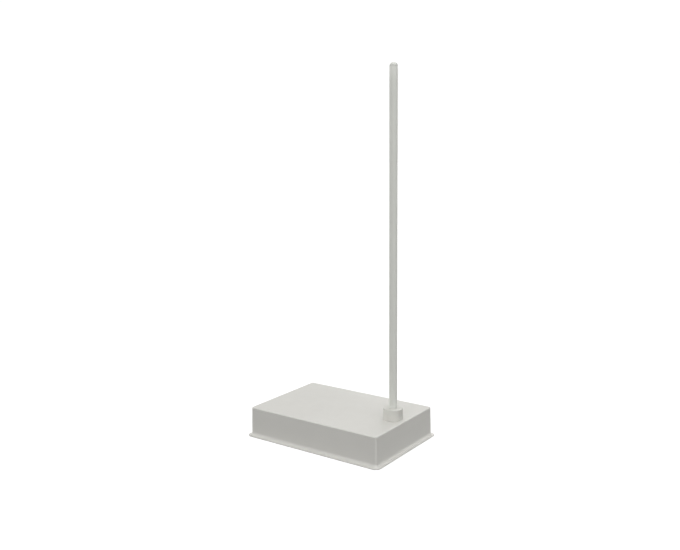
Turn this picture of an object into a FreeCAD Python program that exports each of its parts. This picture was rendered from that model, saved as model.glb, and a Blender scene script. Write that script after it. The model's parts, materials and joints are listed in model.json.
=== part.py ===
"""Single-post security gate pedestal: a floor base under a moulded cover, and a plug-in aerial mast.

The origin is on the floor under the middle of the base. X runs along the base towards the mast,
Y runs from front to back and Z is up. Sizes are millimetres.
"""
import FreeCAD, Part
import math
import os
import Sketcher

Vector = FreeCAD.Vector

DRIVING_SIZES = {
    # Cover
    "cover_length": 491, "cover_width": 335, "cover_height": 96.5, "cover_wall": 2.5,
    "draft_angle": 1.4, "corner_radius": 9, "top_radius": 4,
    "flange_reach": 11, "flange_thickness": 2.5, "cove_radius": 10.5,
    "rib_thickness": 2, "rib_depth": 12, "rib_spacing": 84, "rib_inset": 26,
    "lug_width": 24, "lug_depth": 7, "lug_height": 5, "lug_spacing": 150,
    # Base plate and feet
    "foot_height": 11, "foot_gap": 1, "plate_thickness": 4, "plate_gap": 0.7,
    "foot_inset": 32, "foot_diameter": 40, "foot_rim": 4, "foot_ball": 8, "foot_ball_level": 6,
    "foot_neck": 5.6, "foot_thread": 10, "foot_nut_height": 8,
    "stud_length": 52, "stud_slot": 1.6, "stud_fit": 0.2,
    "anchor_spacing_x": 240, "anchor_spacing_y": 250, "anchor_hole": 12,
    "hole_clearance": 0.1, "seat_gap": 0.3, "running_fit": 0.05,
    # Catches and ballast
    "catch_thickness": 2, "catch_width": 20, "catch_reach": 5, "catch_foot": 12,
    "ballast_length": 52, "ballast_headroom": 10, "ballast_inset": 26, "ballast_split": 6,
    # Mast socket, collet and collar
    "mast_inset": 46, "mast_diameter": 25, "mast_wall": 2.5, "mast_top": 1179,
    "socket_length": 76, "socket_width": 100, "socket_flange": 12, "socket_fillet": 6,
    "neck_shoulder": 4, "neck_rim": 3.5, "thread_height": 23.5, "seal_thickness": 2,
    "collet_wall": 1.45, "collet_flare": 2.5, "collet_depth": 14, "collet_lip": 4, "collet_split": 2,
    "collar_diameter": 62.5, "collar_height": 36.5, "collar_edge": 1.5, "collar_bore_gap": 0.4,
    "thrust_thickness": 3, "clip_thickness": 1.2, "clip_width": 3,
    # Plug-in contact at the foot of the mast
    "ferrule_length": 20, "spigot_length": 25, "plug_diameter": 16, "plug_height": 9,
    "jack_diameter": 20, "jack_height": 25, "pin_diameter": 1.8, "pin_circle": 9, "pin_length": 12,
    "pin_fit": 0.08, "contact_wall": 0.6, "key_width": 3.6, "key_height": 18, "key_depth": 1.4,
    # Aerial inside the mast
    "carrier_gap": 0.2, "rod_diameter": 12, "rod_length": 240, "rod_spacing": 252, "rod_count": 4,
    "coil_wall": 1.05, "coil_length": 45, "aerial_lead": 2.4, "buffer_height": 11,
    # Electronics
    "layout_gap": 8, "wiring_gap": 22,
    "board_length": 140, "board_width": 110, "board_thickness": 1.6, "standoff_height": 10,
    "module_length": 66, "module_width": 70, "module_height": 34,
    "terminal_length": 45, "terminal_width": 20, "terminal_height": 18,
    "entry_diameter": 22, "grommet_bore": 14, "sounder_diameter": 44, "sounder_height": 18,
    "bolt_diameter": 8, "screw_diameter": 4,
}

# Levels above the floor
PLATE_BOTTOM = "(Size.foot_height + Size.foot_gap)"
PLATE_TOP = f"({PLATE_BOTTOM} + Size.plate_thickness)"
COVER_UNDERSIDE = "(Size.cover_height - Size.cover_wall)"
NECK_TOP = "(Size.cover_height + Size.thread_height)"
SHOULDER = f"({COVER_UNDERSIDE} - Size.seal_thickness)"
JACK_TOP = f"({PLATE_TOP} + Size.jack_height)"
MAST_SEAT = f"({JACK_TOP} + 1)"
FERRULE_FOOT = f"({MAST_SEAT} + Size.seat_gap)"
TUBE_FOOT = f"({MAST_SEAT} + Size.ferrule_length)"
TUBE_TOP = "(Size.mast_top - Size.mast_diameter / 2)"
COLLET_TOP = f"({NECK_TOP} + Size.collet_lip)"
THRUST_FOOT = f"({COLLET_TOP} + Size.seat_gap)"
THRUST_TOP = f"({THRUST_FOOT} + Size.thrust_thickness)"
COLLAR_FOOT = "(Size.cover_height + 0.2)"
COLLAR_TOP = "(Size.cover_height + Size.collar_height)"
BOARD_LEVEL = f"({PLATE_TOP} + Size.standoff_height)"
BOARD_TOP = f"({BOARD_LEVEL} + Size.board_thickness)"

# Lengths and radii that several pieces share
DRAFT = "tan(Size.draft_angle * 1 deg)"
PLATE_SHRINK = f"(2 * (Size.cover_wall + Size.plate_gap + {PLATE_TOP} * {DRAFT}))"
PLATE_LENGTH = f"(Size.cover_length - {PLATE_SHRINK})"
PLATE_WIDTH = f"(Size.cover_width - {PLATE_SHRINK})"
MAST_R = "(Size.mast_diameter / 2)"
MAST_BORE_R = f"({MAST_R} + Size.running_fit)"
TUBE_BORE_R = f"({MAST_R} - Size.mast_wall)"
THROAT_R = f"({MAST_BORE_R} + Size.collet_wall)"
MOUTH_R = f"({THROAT_R} + Size.collet_flare)"
THREAD_R = f"({MOUTH_R} + Size.neck_rim)"
NECK_R = f"({THREAD_R} + Size.neck_shoulder)"
COLLAR_BORE_R = f"({THREAD_R} + Size.running_fit)"
JACK_R = "(Size.jack_diameter / 2)"

# Places in plan
MAST_X = "(Size.cover_length / 2 - Size.mast_inset)"
FOOT_X = f"({PLATE_LENGTH} / 2 - Size.foot_inset)"
FOOT_Y = f"({PLATE_WIDTH} / 2 - Size.foot_inset + 8)"
MODULE_X = f"({MAST_X} - Size.socket_length / 2 - Size.layout_gap - Size.module_length / 2)"
MODULE_Y = "(-35 - Size.module_width / 2)"
BOARD_X = f"({MODULE_X} - (Size.module_length + Size.board_length) / 2 - Size.wiring_gap)"
BALLAST_X = f"(-{PLATE_LENGTH} / 2 + Size.ballast_inset + Size.ballast_length / 2)"
BALLAST_SIDE = f"({FOOT_Y} - 32)"
BALLAST_HEIGHT = (f"({COVER_UNDERSIDE} - Size.rib_depth - Size.ballast_headroom"
                  f" - Size.bolt_diameter - {PLATE_TOP})")
TERMINAL_X = f"({MAST_X} - 12)"
TERMINAL_Y = "(-Size.socket_width / 2 - 12 - Size.terminal_width / 2)"
ENTRY_X = f"({TERMINAL_X} - 12)"
ENTRY_Y = f"({TERMINAL_Y} - Size.terminal_width / 2 - 18)"
SOUNDER_Y = "(Size.board_width / 2 + Size.wiring_gap + 3 + Size.sounder_diameter / 2)"
EARTH_X = f"({MODULE_X} - 12)"
CATCH_SCREW_X = f"(-{PLATE_LENGTH} / 2 + Size.lug_depth + Size.seat_gap + Size.catch_foot - 4)"

FOOT_NAMES = {
    "front_left": (-1, -1), "front_right": (1, -1), "back_left": (-1, 1), "back_right": (1, 1),
}
QUADRANTS = tuple(FOOT_NAMES.values())

document = FreeCAD.newDocument("security_gate")
sizes = document.addObject("Spreadsheet::Sheet", "Size")
nodes = []


def fill_size_sheet():
    """Give each driving size a row of its own, with its name as the alias."""
    for row, (name, number) in enumerate(DRIVING_SIZES.items(), start=1):
        sizes.set(f"A{row}", name)
        sizes.set(f"B{row}", str(number))
        sizes.setAlias(f"B{row}", name)
    document.recompute()


def value(expression):
    """The number that an expression in sheet sizes gives."""
    number = sizes.evalExpression(expression)
    return float(getattr(number, "Value", number))


def bind(piece, **expressions):
    for name, expression in expressions.items():
        piece.setExpression(name.replace("_", "."), str(expression))
    return piece


def place(piece, x="0", y="0", z="0"):
    for axis, expression in zip("xyz", (x, y, z)):
        piece.setExpression(f"Placement.Base.{axis}", str(expression))
    return piece


def node(name, piece):
    """Make a finished piece a sub-part, which is written to a file of its name."""
    piece.Label = name
    nodes.append(piece)
    return piece


# ---- Part primitives and booleans ----

def primitive(kind, name, x="0", y="0", z="0", **expressions):
    return place(bind(document.addObject(f"Part::{kind}", name), **expressions), x, y, z)


def cylinder(name, radius, height, x="0", y="0", z="0"):
    return primitive("Cylinder", name, x, y, z, Radius=radius, Height=height)


def block(name, length, width, height, x="0", y="0", z="0"):
    """A box centred on x and y, standing on z."""
    corner = f"{x} - ({length}) / 2", f"{y} - ({width}) / 2", z
    return primitive("Box", name, *corner, Length=length, Width=width, Height=height)


def hexagon(name, across_flats, height, x="0", y="0", z="0"):
    prism = document.addObject("Part::Prism", name)
    prism.Polygon = 6
    bind(prism, Circumradius=f"({across_flats}) / (2 * cos(30 deg))", Height=height)
    return place(prism, x, y, z)


def cut(name, base, tool):
    piece = document.addObject("Part::Cut", name)
    piece.Base = base
    piece.Tool = tool
    return piece


def fuse(name, *pieces):
    piece = document.addObject("Part::MultiFuse", name)
    piece.Shapes = list(pieces)
    return piece


def group(name, pieces):
    """Several equal loose pieces kept in one sub-part."""
    piece = document.addObject("Part::Compound", name)
    piece.Links = list(pieces)
    return piece


def tube(name, outer, inner, height, x="0", y="0", z="0"):
    ring = cut(name, cylinder(f"{name}_outer", outer, height), cylinder(f"{name}_bore", inner, height))
    return place(ring, x, y, z)


def socket_screw(name, diameter, length, x="0", y="0", z="0"):
    """A cap screw with a hexagon socket; z is the level under its head."""
    head_height = f"({diameter})"
    shank = cylinder(f"{name}_shank", f"({diameter}) / 2", length, z=f"-({length})")
    head = cylinder(f"{name}_head", f"0.8 * ({diameter})", head_height)
    socket = hexagon(f"{name}_socket", f"0.8 * ({diameter})", head_height, z=f"0.5 * {head_height}")
    return place(cut(name, fuse(f"{name}_blank", shank, head), socket), x, y, z)


# ---- PartDesign bodies ----

def new_body(name, x="0", y="0", z="0"):
    return place(document.addObject("PartDesign::Body", name), x, y, z)


def new_sketch(body, name, plane="XY_Plane", level="0"):
    sketch = body.newObject("Sketcher::SketchObject", name)
    support = next(feature for feature in body.Origin.OriginFeatures if feature.Role == plane)
    sketch.AttachmentSupport = [(support, "")]
    sketch.MapMode = "FlatFace"
    sketch.setExpression("AttachmentOffset.Base.z", str(level))
    return sketch


def hold_point(sketch, edge, end, x, y):
    """Tie one point of a sketch to the sheet by its two distances from the origin."""
    for kind, expression in (("DistanceX", x), ("DistanceY", y)):
        constraint = Sketcher.Constraint(kind, -1, 1, edge, end, value(expression))
        sketch.setExpression(f"Constraints[{sketch.addConstraint(constraint)}]", str(expression))


def draw_outline(sketch, points):
    """A closed outline through points that are pairs of expressions."""
    corners = [Vector(value(x), value(y), 0) for x, y in points]
    following = corners[1:] + corners[:1]
    edges = sketch.addGeometry([Part.LineSegment(a, b) for a, b in zip(corners, following)])
    for edge, after in zip(edges, edges[1:] + edges[:1]):
        sketch.addConstraint(Sketcher.Constraint("Coincident", edge, 2, after, 1))
    for edge, (x, y) in zip(edges, points):
        hold_point(sketch, edge, 1, x, y)
    return sketch


def draw_rectangle(sketch, length, width, x="0", y="0"):
    left, right = f"{x} - ({length}) / 2", f"{x} + ({length}) / 2"
    front, back = f"{y} - ({width}) / 2", f"{y} + ({width}) / 2"
    return draw_outline(sketch, [(left, front), (right, front), (right, back), (left, back)])


def draw_rounded_rectangle(sketch, length, width, radius):
    """A rectangle about the origin whose corners are tangent arcs."""
    bend = value(radius)
    half_x, half_y = value(f"({length}) / 2 - ({radius})"), value(f"({width}) / 2 - ({radius})")
    turns = [(-1, -1), (1, -1), (1, 1), (-1, 1)]
    middles = [Vector(sx * half_x, sy * half_y, 0) for sx, sy in turns]
    arcs, sides = [], []
    for number, middle in enumerate(middles):
        start = math.pi * (1 + number / 2)
        circle = Part.Circle(middle, Vector(0, 0, 1), bend)
        arcs.append(sketch.addGeometry(Part.ArcOfCircle(circle, start, start + math.pi / 2)))
    for number, middle in enumerate(middles):
        angle = math.pi * (1.5 + number / 2)
        offset = Vector(math.cos(angle), math.sin(angle), 0) * bend
        side = Part.LineSegment(middle + offset, middles[(number + 1) % 4] + offset)
        sides.append(sketch.addGeometry(side))
    for number in range(4):
        sketch.addConstraint(Sketcher.Constraint("Tangent", arcs[number], 2, sides[number], 1))
        sketch.addConstraint(Sketcher.Constraint("Tangent", sides[number], 2, arcs[(number + 1) % 4], 1))
        constraint = sketch.addConstraint(Sketcher.Constraint("Radius", arcs[number], bend))
        sketch.setExpression(f"Constraints[{constraint}]", str(radius))
        sx, sy = turns[number]
        hold_point(sketch, arcs[number], 3, f"{sx} * (({length}) / 2 - ({radius}))",
                   f"{sy} * (({width}) / 2 - ({radius}))")
    return sketch


def draw_circle(sketch, radius, x="0", y="0"):
    middle = Vector(value(x), value(y), 0)
    edge = sketch.addGeometry(Part.Circle(middle, Vector(0, 0, 1), value(radius)))
    constraint = Sketcher.Constraint("Radius", edge, value(radius))
    sketch.setExpression(f"Constraints[{sketch.addConstraint(constraint)}]", str(radius))
    hold_point(sketch, edge, 3, x, y)
    return sketch


def feature(body, kind, name, sketch, **expressions):
    piece = body.newObject(f"PartDesign::{kind}", name)
    piece.Profile = sketch
    return bind(piece, **expressions)


def pad(body, name, sketch, length, **expressions):
    return feature(body, "Pad", name, sketch, Length=length, **expressions)


def pocket_up(body, name, sketch, depth, **expressions):
    """A pocket that rises from its sketch; it stops the build if it takes nothing away."""
    document.recompute()
    before = body.Shape.Volume
    piece = feature(body, "Pocket", name, sketch, Length=depth, **expressions)
    piece.Reversed = True
    document.recompute()
    if piece.Shape.Volume >= before - 1e-6:
        raise ValueError(f"{body.Name}.{name} cuts nothing")
    return piece


def fillet(body, name, base, radius, chosen):
    """Round the edges of a feature that a test picks out."""
    document.recompute()
    edges = [f"Edge{i}" for i, edge in enumerate(base.Shape.Edges, start=1) if chosen(edge)]
    if not edges:
        raise ValueError(f"{body.Name}.{name} finds no edge")
    piece = body.newObject("PartDesign::Fillet", name)
    piece.Base = (base, edges)
    bind(piece, Radius=radius)
    document.recompute()
    return piece


def turned_body(name, outline, x="0", y="0"):
    """A body turned about its own vertical axis from (radius, level) points."""
    body = new_body(name, x, y)
    sketch = draw_outline(new_sketch(body, f"{name}_outline", "XZ_Plane"), outline)
    turn = feature(body, "Revolution", f"{name}_turning", sketch)
    turn.ReferenceAxis = (sketch, ["V_Axis"])
    turn.Angle = 360
    return body


def drill(body, name, radius, places, level, depth):
    """Round holes of one size, rising from a level."""
    sketch = new_sketch(body, f"{name}_sketch", level=level)
    for x, y in places:
        draw_circle(sketch, radius, x, y)
    return pocket_up(body, name, sketch, depth)


def four(x, y):
    """The four places that mirror (x, y) about both axes."""
    return [(f"{sx} * {x}", f"{sy} * {y}") for sx, sy in QUADRANTS]


def level_edge(level):
    """A test for edges that lie flat at one level."""
    def test(edge):
        return abs(edge.BoundBox.ZMin - level) < 1e-3 and abs(edge.BoundBox.ZMax - level) < 1e-3
    return test


def upright_edge(reach_x, bottom, top):
    """A test for corner edges beyond a distance from the middle, between two levels."""
    def test(edge):
        box = edge.BoundBox
        rises = abs(box.ZMin - bottom) < 1e-3 and abs(box.ZMax - top) < 1e-3
        return rises and abs(edge.CenterOfMass.x) > reach_x
    return test


# ---- Cover ----

def base_cover():
    body = new_body("base_cover")
    height = value("Size.cover_height")
    foot = draw_rectangle(new_sketch(body, "cover_foot"), "Size.cover_length", "Size.cover_width")
    walls = pad(body, "cover_walls", foot, "Size.cover_height", TaperAngle="-Size.draft_angle")
    corners = fillet(body, "cover_corners", walls, "Size.corner_radius", upright_edge(1, 0, height))
    fillet(body, "cover_top_edge", corners, "Size.top_radius", level_edge(height))
    round_flange(body)
    hollow_cover(body)
    stiffen_cover(body)
    drill(body, "neck_hole", f"{THREAD_R} + Size.seat_gap", [(MAST_X, "0")],
          COVER_UNDERSIDE, "Size.cover_wall")
    return node("base_cover", body)


def round_flange(body):
    """The thin flange at the floor, and the cove that runs up from it into the walls."""
    reach = "2 * Size.flange_reach"
    sketch = draw_rectangle(new_sketch(body, "flange_outline"),
                            f"Size.cover_length + {reach}", f"Size.cover_width + {reach}")
    flange = pad(body, "flange", sketch, "Size.flange_thickness")
    thickness = value("Size.flange_thickness")
    half_length = value("Size.cover_length / 2")
    rounded = fillet(body, "flange_corners", flange, "Size.corner_radius + Size.flange_reach",
                     upright_edge(half_length + 1, 0, thickness))

    half_width = value("Size.cover_width / 2")

    def wall_foot(edge):
        box = edge.BoundBox
        inside = box.XMax < half_length + 0.1 and box.YMax < half_width + 0.1
        outside = box.XMin < -half_length - 0.1 or box.YMin < -half_width - 0.1
        return inside and not outside and level_edge(thickness)(edge)

    fillet(body, "cove", rounded, "Size.cove_radius", wall_foot)


def hollow_cover(body):
    """The cavity, which keeps the wall even round the corners, the top edge and the cove."""
    length = "Size.cover_length - 2 * Size.cover_wall"
    width = "Size.cover_width - 2 * Size.cover_wall"
    outline = draw_rounded_rectangle(new_sketch(body, "cavity_outline"), length, width,
                                     "Size.corner_radius - Size.cover_wall")
    cavity = pocket_up(body, "cavity", outline, COVER_UNDERSIDE, TaperAngle="-Size.draft_angle")
    top = fillet(body, "cavity_top_edge", cavity, "Size.top_radius - Size.cover_wall",
                 level_edge(value(COVER_UNDERSIDE)))
    half_length = value("Size.cover_length / 2")
    half_width = value("Size.cover_width / 2")

    def cavity_mouth(edge):
        box = edge.BoundBox
        in_length = max(abs(box.XMin), abs(box.XMax)) < half_length
        in_width = max(abs(box.YMin), abs(box.YMax)) < half_width
        return in_length and in_width and level_edge(0)(edge)

    fillet(body, "cavity_flare", top, "Size.cove_radius + Size.cover_wall", cavity_mouth)


def stiffen_cover(body):
    """Moulded ribs under the top, and two lugs at the end away from the mast."""
    level = f"{COVER_UNDERSIDE} - Size.rib_depth"
    depth = f"{COVER_UNDERSIDE} - ({level}) + 0.5"
    rib_length = f"{PLATE_LENGTH} / 2 - Size.rib_inset"
    across = new_sketch(body, "cross_rib_outline", level=level)
    for step in (-2, -1, 0, 1):
        draw_rectangle(across, "Size.rib_thickness", f"{PLATE_WIDTH} - 2 * Size.rib_inset",
                       f"{step} * Size.rib_spacing")
    pad(body, "cross_ribs", across, depth)
    along = new_sketch(body, "long_rib_outline", level=level)
    for side in (-1, 1):
        draw_rectangle(along, f"{rib_length} + Size.rib_spacing * 1.5", "Size.rib_thickness",
                       f"(Size.rib_spacing * 1.5 - ({rib_length})) / 2", f"{side} * Size.rib_spacing")
    pad(body, "long_ribs", along, depth)
    lugs = new_sketch(body, "lug_outline", level=PLATE_TOP)
    for side in (-1, 1):
        draw_rectangle(lugs, "Size.lug_depth + 1.5", "Size.lug_width",
                       f"-{PLATE_LENGTH} / 2 + Size.lug_depth / 2 - 0.75",
                       f"{side} * Size.lug_spacing / 2")
    pad(body, "lugs", lugs, "Size.lug_height")


def cover_catches():
    """Two bent steel catches that hold the cover's lugs down on the plate."""
    reach = f"-{PLATE_LENGTH} / 2 + Size.lug_depth + Size.seat_gap"
    rise = f"{PLATE_TOP} + Size.lug_height + Size.seat_gap"
    thickness = "Size.catch_thickness"
    catches = []
    for side, name in ((-1, "front"), (1, "back")):
        body = new_body(f"catch_{name}", "0", f"{side} * Size.lug_spacing / 2 + Size.catch_width / 2", "0")
        sketch = new_sketch(body, f"catch_{name}_bend", "XZ_Plane")
        draw_outline(sketch, [
            (reach, PLATE_TOP),
            (f"{reach} + Size.catch_foot", PLATE_TOP),
            (f"{reach} + Size.catch_foot", f"{PLATE_TOP} + {thickness}"),
            (f"{reach} + {thickness}", f"{PLATE_TOP} + {thickness}"),
            (f"{reach} + {thickness}", f"{rise} + {thickness}"),
            (f"{reach} - Size.catch_reach", f"{rise} + {thickness}"),
            (f"{reach} - Size.catch_reach", rise),
            (reach, rise),
        ])
        pad(body, f"catch_{name}_strip", sketch, "Size.catch_width")
        drill(body, f"catch_{name}_hole", "Size.screw_diameter / 2 + Size.hole_clearance",
              [(CATCH_SCREW_X, "-Size.catch_width / 2")], PLATE_TOP, thickness)
        catches.append(body)
    return node("cover_catches", group("cover_catches", catches))


# ---- Base plate and what is bolted to it ----

def base_plate():
    body = new_body("base_plate")
    outline = draw_rectangle(new_sketch(body, "plate_outline", level=PLATE_BOTTOM),
                             PLATE_LENGTH, PLATE_WIDTH)
    sheet = pad(body, "plate_sheet", outline, "Size.plate_thickness")
    fillet(body, "plate_corners", sheet, "Size.corner_radius - Size.cover_wall",
           upright_edge(1, value(PLATE_BOTTOM), value(PLATE_TOP)))
    clearance = "Size.hole_clearance"
    drilled = {
        "foot_holes": (f"Size.foot_thread / 2 + 2 * {clearance}", four(FOOT_X, FOOT_Y)),
        "anchor_holes": ("Size.anchor_hole / 2",
                         four("Size.anchor_spacing_x / 2", "Size.anchor_spacing_y / 2")),
        "bolt_holes": (f"Size.bolt_diameter / 2 + {clearance}", SOCKET_BOLTS + BALLAST_BOLTS),
        "screw_holes": (f"Size.screw_diameter / 2 + {clearance}", PLATE_SCREWS),
        "entry_hole": ("Size.entry_diameter / 2", [(ENTRY_X, ENTRY_Y)]),
        "earth_hole": (f"Size.bolt_diameter / 2 + {clearance}", [(EARTH_X, SOUNDER_Y)]),
    }
    for name, (radius, places) in drilled.items():
        drill(body, name, radius, places, PLATE_BOTTOM, "Size.plate_thickness")
    slots = new_sketch(body, "sound_slot_outline", level=PLATE_BOTTOM)
    for step in (-2, -1, 0, 1, 2):
        draw_rectangle(slots, "2.5", "0.5 * Size.sounder_diameter", f"{BOARD_X} + {step} * 6", SOUNDER_Y)
    pocket_up(body, "sound_slots", slots, "Size.plate_thickness")
    return node("base_plate", body)


SOCKET_BOLTS = [(f"{MAST_X} + {sx} * (Size.socket_length / 2 - 10)",
                 f"{sy} * (Size.socket_width / 2 - 10)") for sx, sy in QUADRANTS]
BALLAST_BOLTS = [(BALLAST_X, f"{side} * ({BALLAST_SIDE} + Size.ballast_split / 2) * {share}")
                 for side in (-1, 1) for share in (0.28, 0.72)]
BOARD_SCREWS = [(f"{BOARD_X} + {sx} * (Size.board_length / 2 - 6)",
                 f"{sy} * (Size.board_width / 2 - 6)") for sx, sy in QUADRANTS]
MODULE_SCREWS = [(f"{MODULE_X} + {side} * (Size.module_length / 2 - 7)", MODULE_Y) for side in (-1, 1)]
SOUNDER_SCREWS = [(f"{BOARD_X} + {side} * (Size.sounder_diameter / 2 + 6)", SOUNDER_Y)
                  for side in (-1, 1)]
CATCH_SCREWS = [(CATCH_SCREW_X, f"{side} * Size.lug_spacing / 2") for side in (-1, 1)]
PLATE_SCREWS = MODULE_SCREWS + SOUNDER_SCREWS + CATCH_SCREWS


def screws(name, diameter, length, places, level):
    pieces = [socket_screw(f"{name}_{number}", diameter, length, x, y, level)
              for number, (x, y) in enumerate(places, start=1)]
    return node(name, group(name, pieces))


def ballast():
    blocks = []
    for side, name in ((-1, "front"), (1, "back")):
        blank = block(f"ballast_{name}_blank", "Size.ballast_length",
                      f"{BALLAST_SIDE} - Size.ballast_split / 2", BALLAST_HEIGHT, BALLAST_X,
                      f"{side} * ({BALLAST_SIDE} + Size.ballast_split / 2) / 2", PLATE_TOP)
        holes = [cylinder(f"ballast_{name}_hole_{number}",
                          "Size.bolt_diameter / 2 + Size.hole_clearance", BALLAST_HEIGHT,
                          x, y, PLATE_TOP)
                 for number, (x, y) in enumerate(BALLAST_BOLTS) if (number > 1) == (side > 0)]
        blocks.append(cut(f"ballast_{name}", blank, fuse(f"ballast_{name}_holes", *holes)))
    node("ballast_weights", group("ballast_weights", blocks))
    screws("ballast_bolts", "Size.bolt_diameter", f"{BALLAST_HEIGHT} + Size.plate_thickness",
           BALLAST_BOLTS, f"{PLATE_TOP} + {BALLAST_HEIGHT}")


def levelling_feet():
    """Four feet: a pad that a ball-ended stud pushes down, and a fixed nut for the stud."""
    nuts = []
    for name, (side_x, side_y) in FOOT_NAMES.items():
        x, y = f"{side_x} * {FOOT_X}", f"{side_y} * {FOOT_Y}"
        node(f"foot_pad_{name}", foot_pad(name, x, y))
        node(f"foot_stud_{name}", foot_stud(name, x, y))
        blank = hexagon(f"nut_{name}_blank", "1.7 * Size.foot_thread", "Size.foot_nut_height")
        bore = cylinder(f"nut_{name}_bore", "Size.foot_thread / 2 + Size.stud_fit", "Size.foot_nut_height")
        nuts.append(place(cut(f"nut_{name}", blank, bore), x, y, PLATE_TOP))
    node("foot_nuts", group("foot_nuts", nuts))


def foot_pad(name, x, y):
    rim = cylinder(f"pad_{name}_rim", "Size.foot_diameter / 2", "Size.foot_rim")
    crown = primitive("Cone", f"pad_{name}_crown", z="Size.foot_rim",
                      Radius1="Size.foot_diameter / 2 - 1", Radius2="Size.foot_diameter / 4 + 1",
                      Height="Size.foot_height - Size.foot_rim")
    seat = primitive("Sphere", f"pad_{name}_seat", z="Size.foot_ball_level",
                     Radius="Size.foot_ball / 2 + Size.pin_fit")
    mouth = cylinder(f"pad_{name}_mouth", "Size.foot_neck / 2 + Size.seat_gap",
                     "Size.foot_height", z="Size.foot_ball_level")
    solid = fuse(f"pad_{name}_solid", rim, crown)
    return place(cut(f"foot_pad_{name}", solid, fuse(f"pad_{name}_hollow", seat, mouth)), x, y)


def foot_stud(name, x, y):
    ball = primitive("Sphere", f"stud_{name}_ball", z="Size.foot_ball_level",
                     Radius="Size.foot_ball / 2")
    neck = cylinder(f"stud_{name}_neck", "Size.foot_neck / 2", "Size.foot_height",
                    z="Size.foot_ball_level")
    thread_level = "(Size.foot_height + Size.seat_gap)"
    thread = cylinder(f"stud_{name}_thread", "Size.foot_thread / 2",
                      f"Size.stud_length - {thread_level}", z=thread_level)
    slot = block(f"stud_{name}_slot", "Size.foot_thread + 1", "Size.stud_slot", "3",
                 z="Size.stud_length - 2")
    return place(cut(f"foot_stud_{name}", fuse(f"stud_{name}_blank", ball, neck, thread), slot), x, y)


# ---- Mast socket, collet and collar ----

def mast_socket():
    """A cast socket: a bolted flange, a neck through the cover, and a flared mouth for the collet."""
    throat = f"({NECK_TOP} - Size.collet_depth)"
    chamber_r = f"{JACK_R} + Size.hole_clearance"
    body = turned_body("mast_socket", [
        (chamber_r, PLATE_TOP), (NECK_R, PLATE_TOP), (NECK_R, SHOULDER), (THREAD_R, SHOULDER),
        (THREAD_R, NECK_TOP), (MOUTH_R, NECK_TOP), (THROAT_R, throat), (MAST_BORE_R, throat),
        (MAST_BORE_R, MAST_SEAT), (chamber_r, MAST_SEAT),
    ], MAST_X)
    outline = draw_rectangle(new_sketch(body, "socket_flange_outline", level=PLATE_TOP),
                             "Size.socket_length", "Size.socket_width")
    draw_circle(outline, chamber_r)
    flange = pad(body, "socket_flange", outline, "Size.socket_flange")
    flange_top = value(f"{PLATE_TOP} + Size.socket_flange")
    rounded = fillet(body, "socket_corners", flange, "Size.socket_fillet",
                     upright_edge(value("Size.socket_length / 2 - 1"), value(PLATE_TOP), flange_top))

    def neck_foot(edge):
        return level_edge(flange_top)(edge) and abs(edge.BoundBox.YMax - value(NECK_R)) < 0.01

    fillet(body, "neck_foot_fillet", rounded, "Size.socket_fillet", neck_foot)
    bolt_places = [(f"{sx} * (Size.socket_length / 2 - 10)", f"{sy} * (Size.socket_width / 2 - 10)")
                   for sx, sy in QUADRANTS]
    drill(body, "socket_bolt_holes", "Size.bolt_diameter / 2 + Size.hole_clearance", bolt_places,
          PLATE_TOP, "Size.socket_flange")
    tunnel = draw_rectangle(new_sketch(body, "tunnel_outline", level=PLATE_TOP),
                            f"Size.socket_length / 2 - {JACK_R} + 4", "9",
                            f"-(Size.socket_length / 2 + {JACK_R} - 2) / 2")
    pocket_up(body, "lead_tunnel", tunnel, "9")
    key = draw_rectangle(new_sketch(body, "key_outline", level=MAST_SEAT),
                         "Size.key_depth + 0.5", "Size.key_width",
                         f"{MAST_BORE_R} + (0.5 - Size.key_depth) / 2")
    pad(body, "key", key, "Size.key_height")
    return node("mast_socket", body)


def neck_seal():
    ring = tube("neck_seal", NECK_R, f"{THREAD_R} + Size.seat_gap", "Size.seal_thickness", MAST_X, "0",
                SHOULDER)
    return node("neck_seal", ring)


def mast_collet():
    """A split ring whose taper the collar forces into the neck, which grips the mast."""
    foot = f"({NECK_TOP} - Size.collet_depth + 2)"
    taper = "(Size.collet_flare / Size.collet_depth)"
    gap = "Size.hole_clearance"
    body = turned_body("mast_collet", [
        (MAST_BORE_R, foot), (f"{THROAT_R} + 2 * {taper} - {gap}", foot),
        (f"{MOUTH_R} - {gap}", NECK_TOP), (f"{MOUTH_R} + 1", f"{NECK_TOP} + {gap}"),
        (f"{MOUTH_R} + 1", COLLET_TOP), (MAST_BORE_R, COLLET_TOP),
    ], MAST_X)
    slit = draw_rectangle(new_sketch(body, "slit_outline", level=foot), "2 * Size.mast_diameter",
                          "Size.collet_split", "Size.mast_diameter")
    pocket_up(body, "slit", slit, "2 * Size.collet_depth")
    return node("mast_collet", body)


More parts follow.
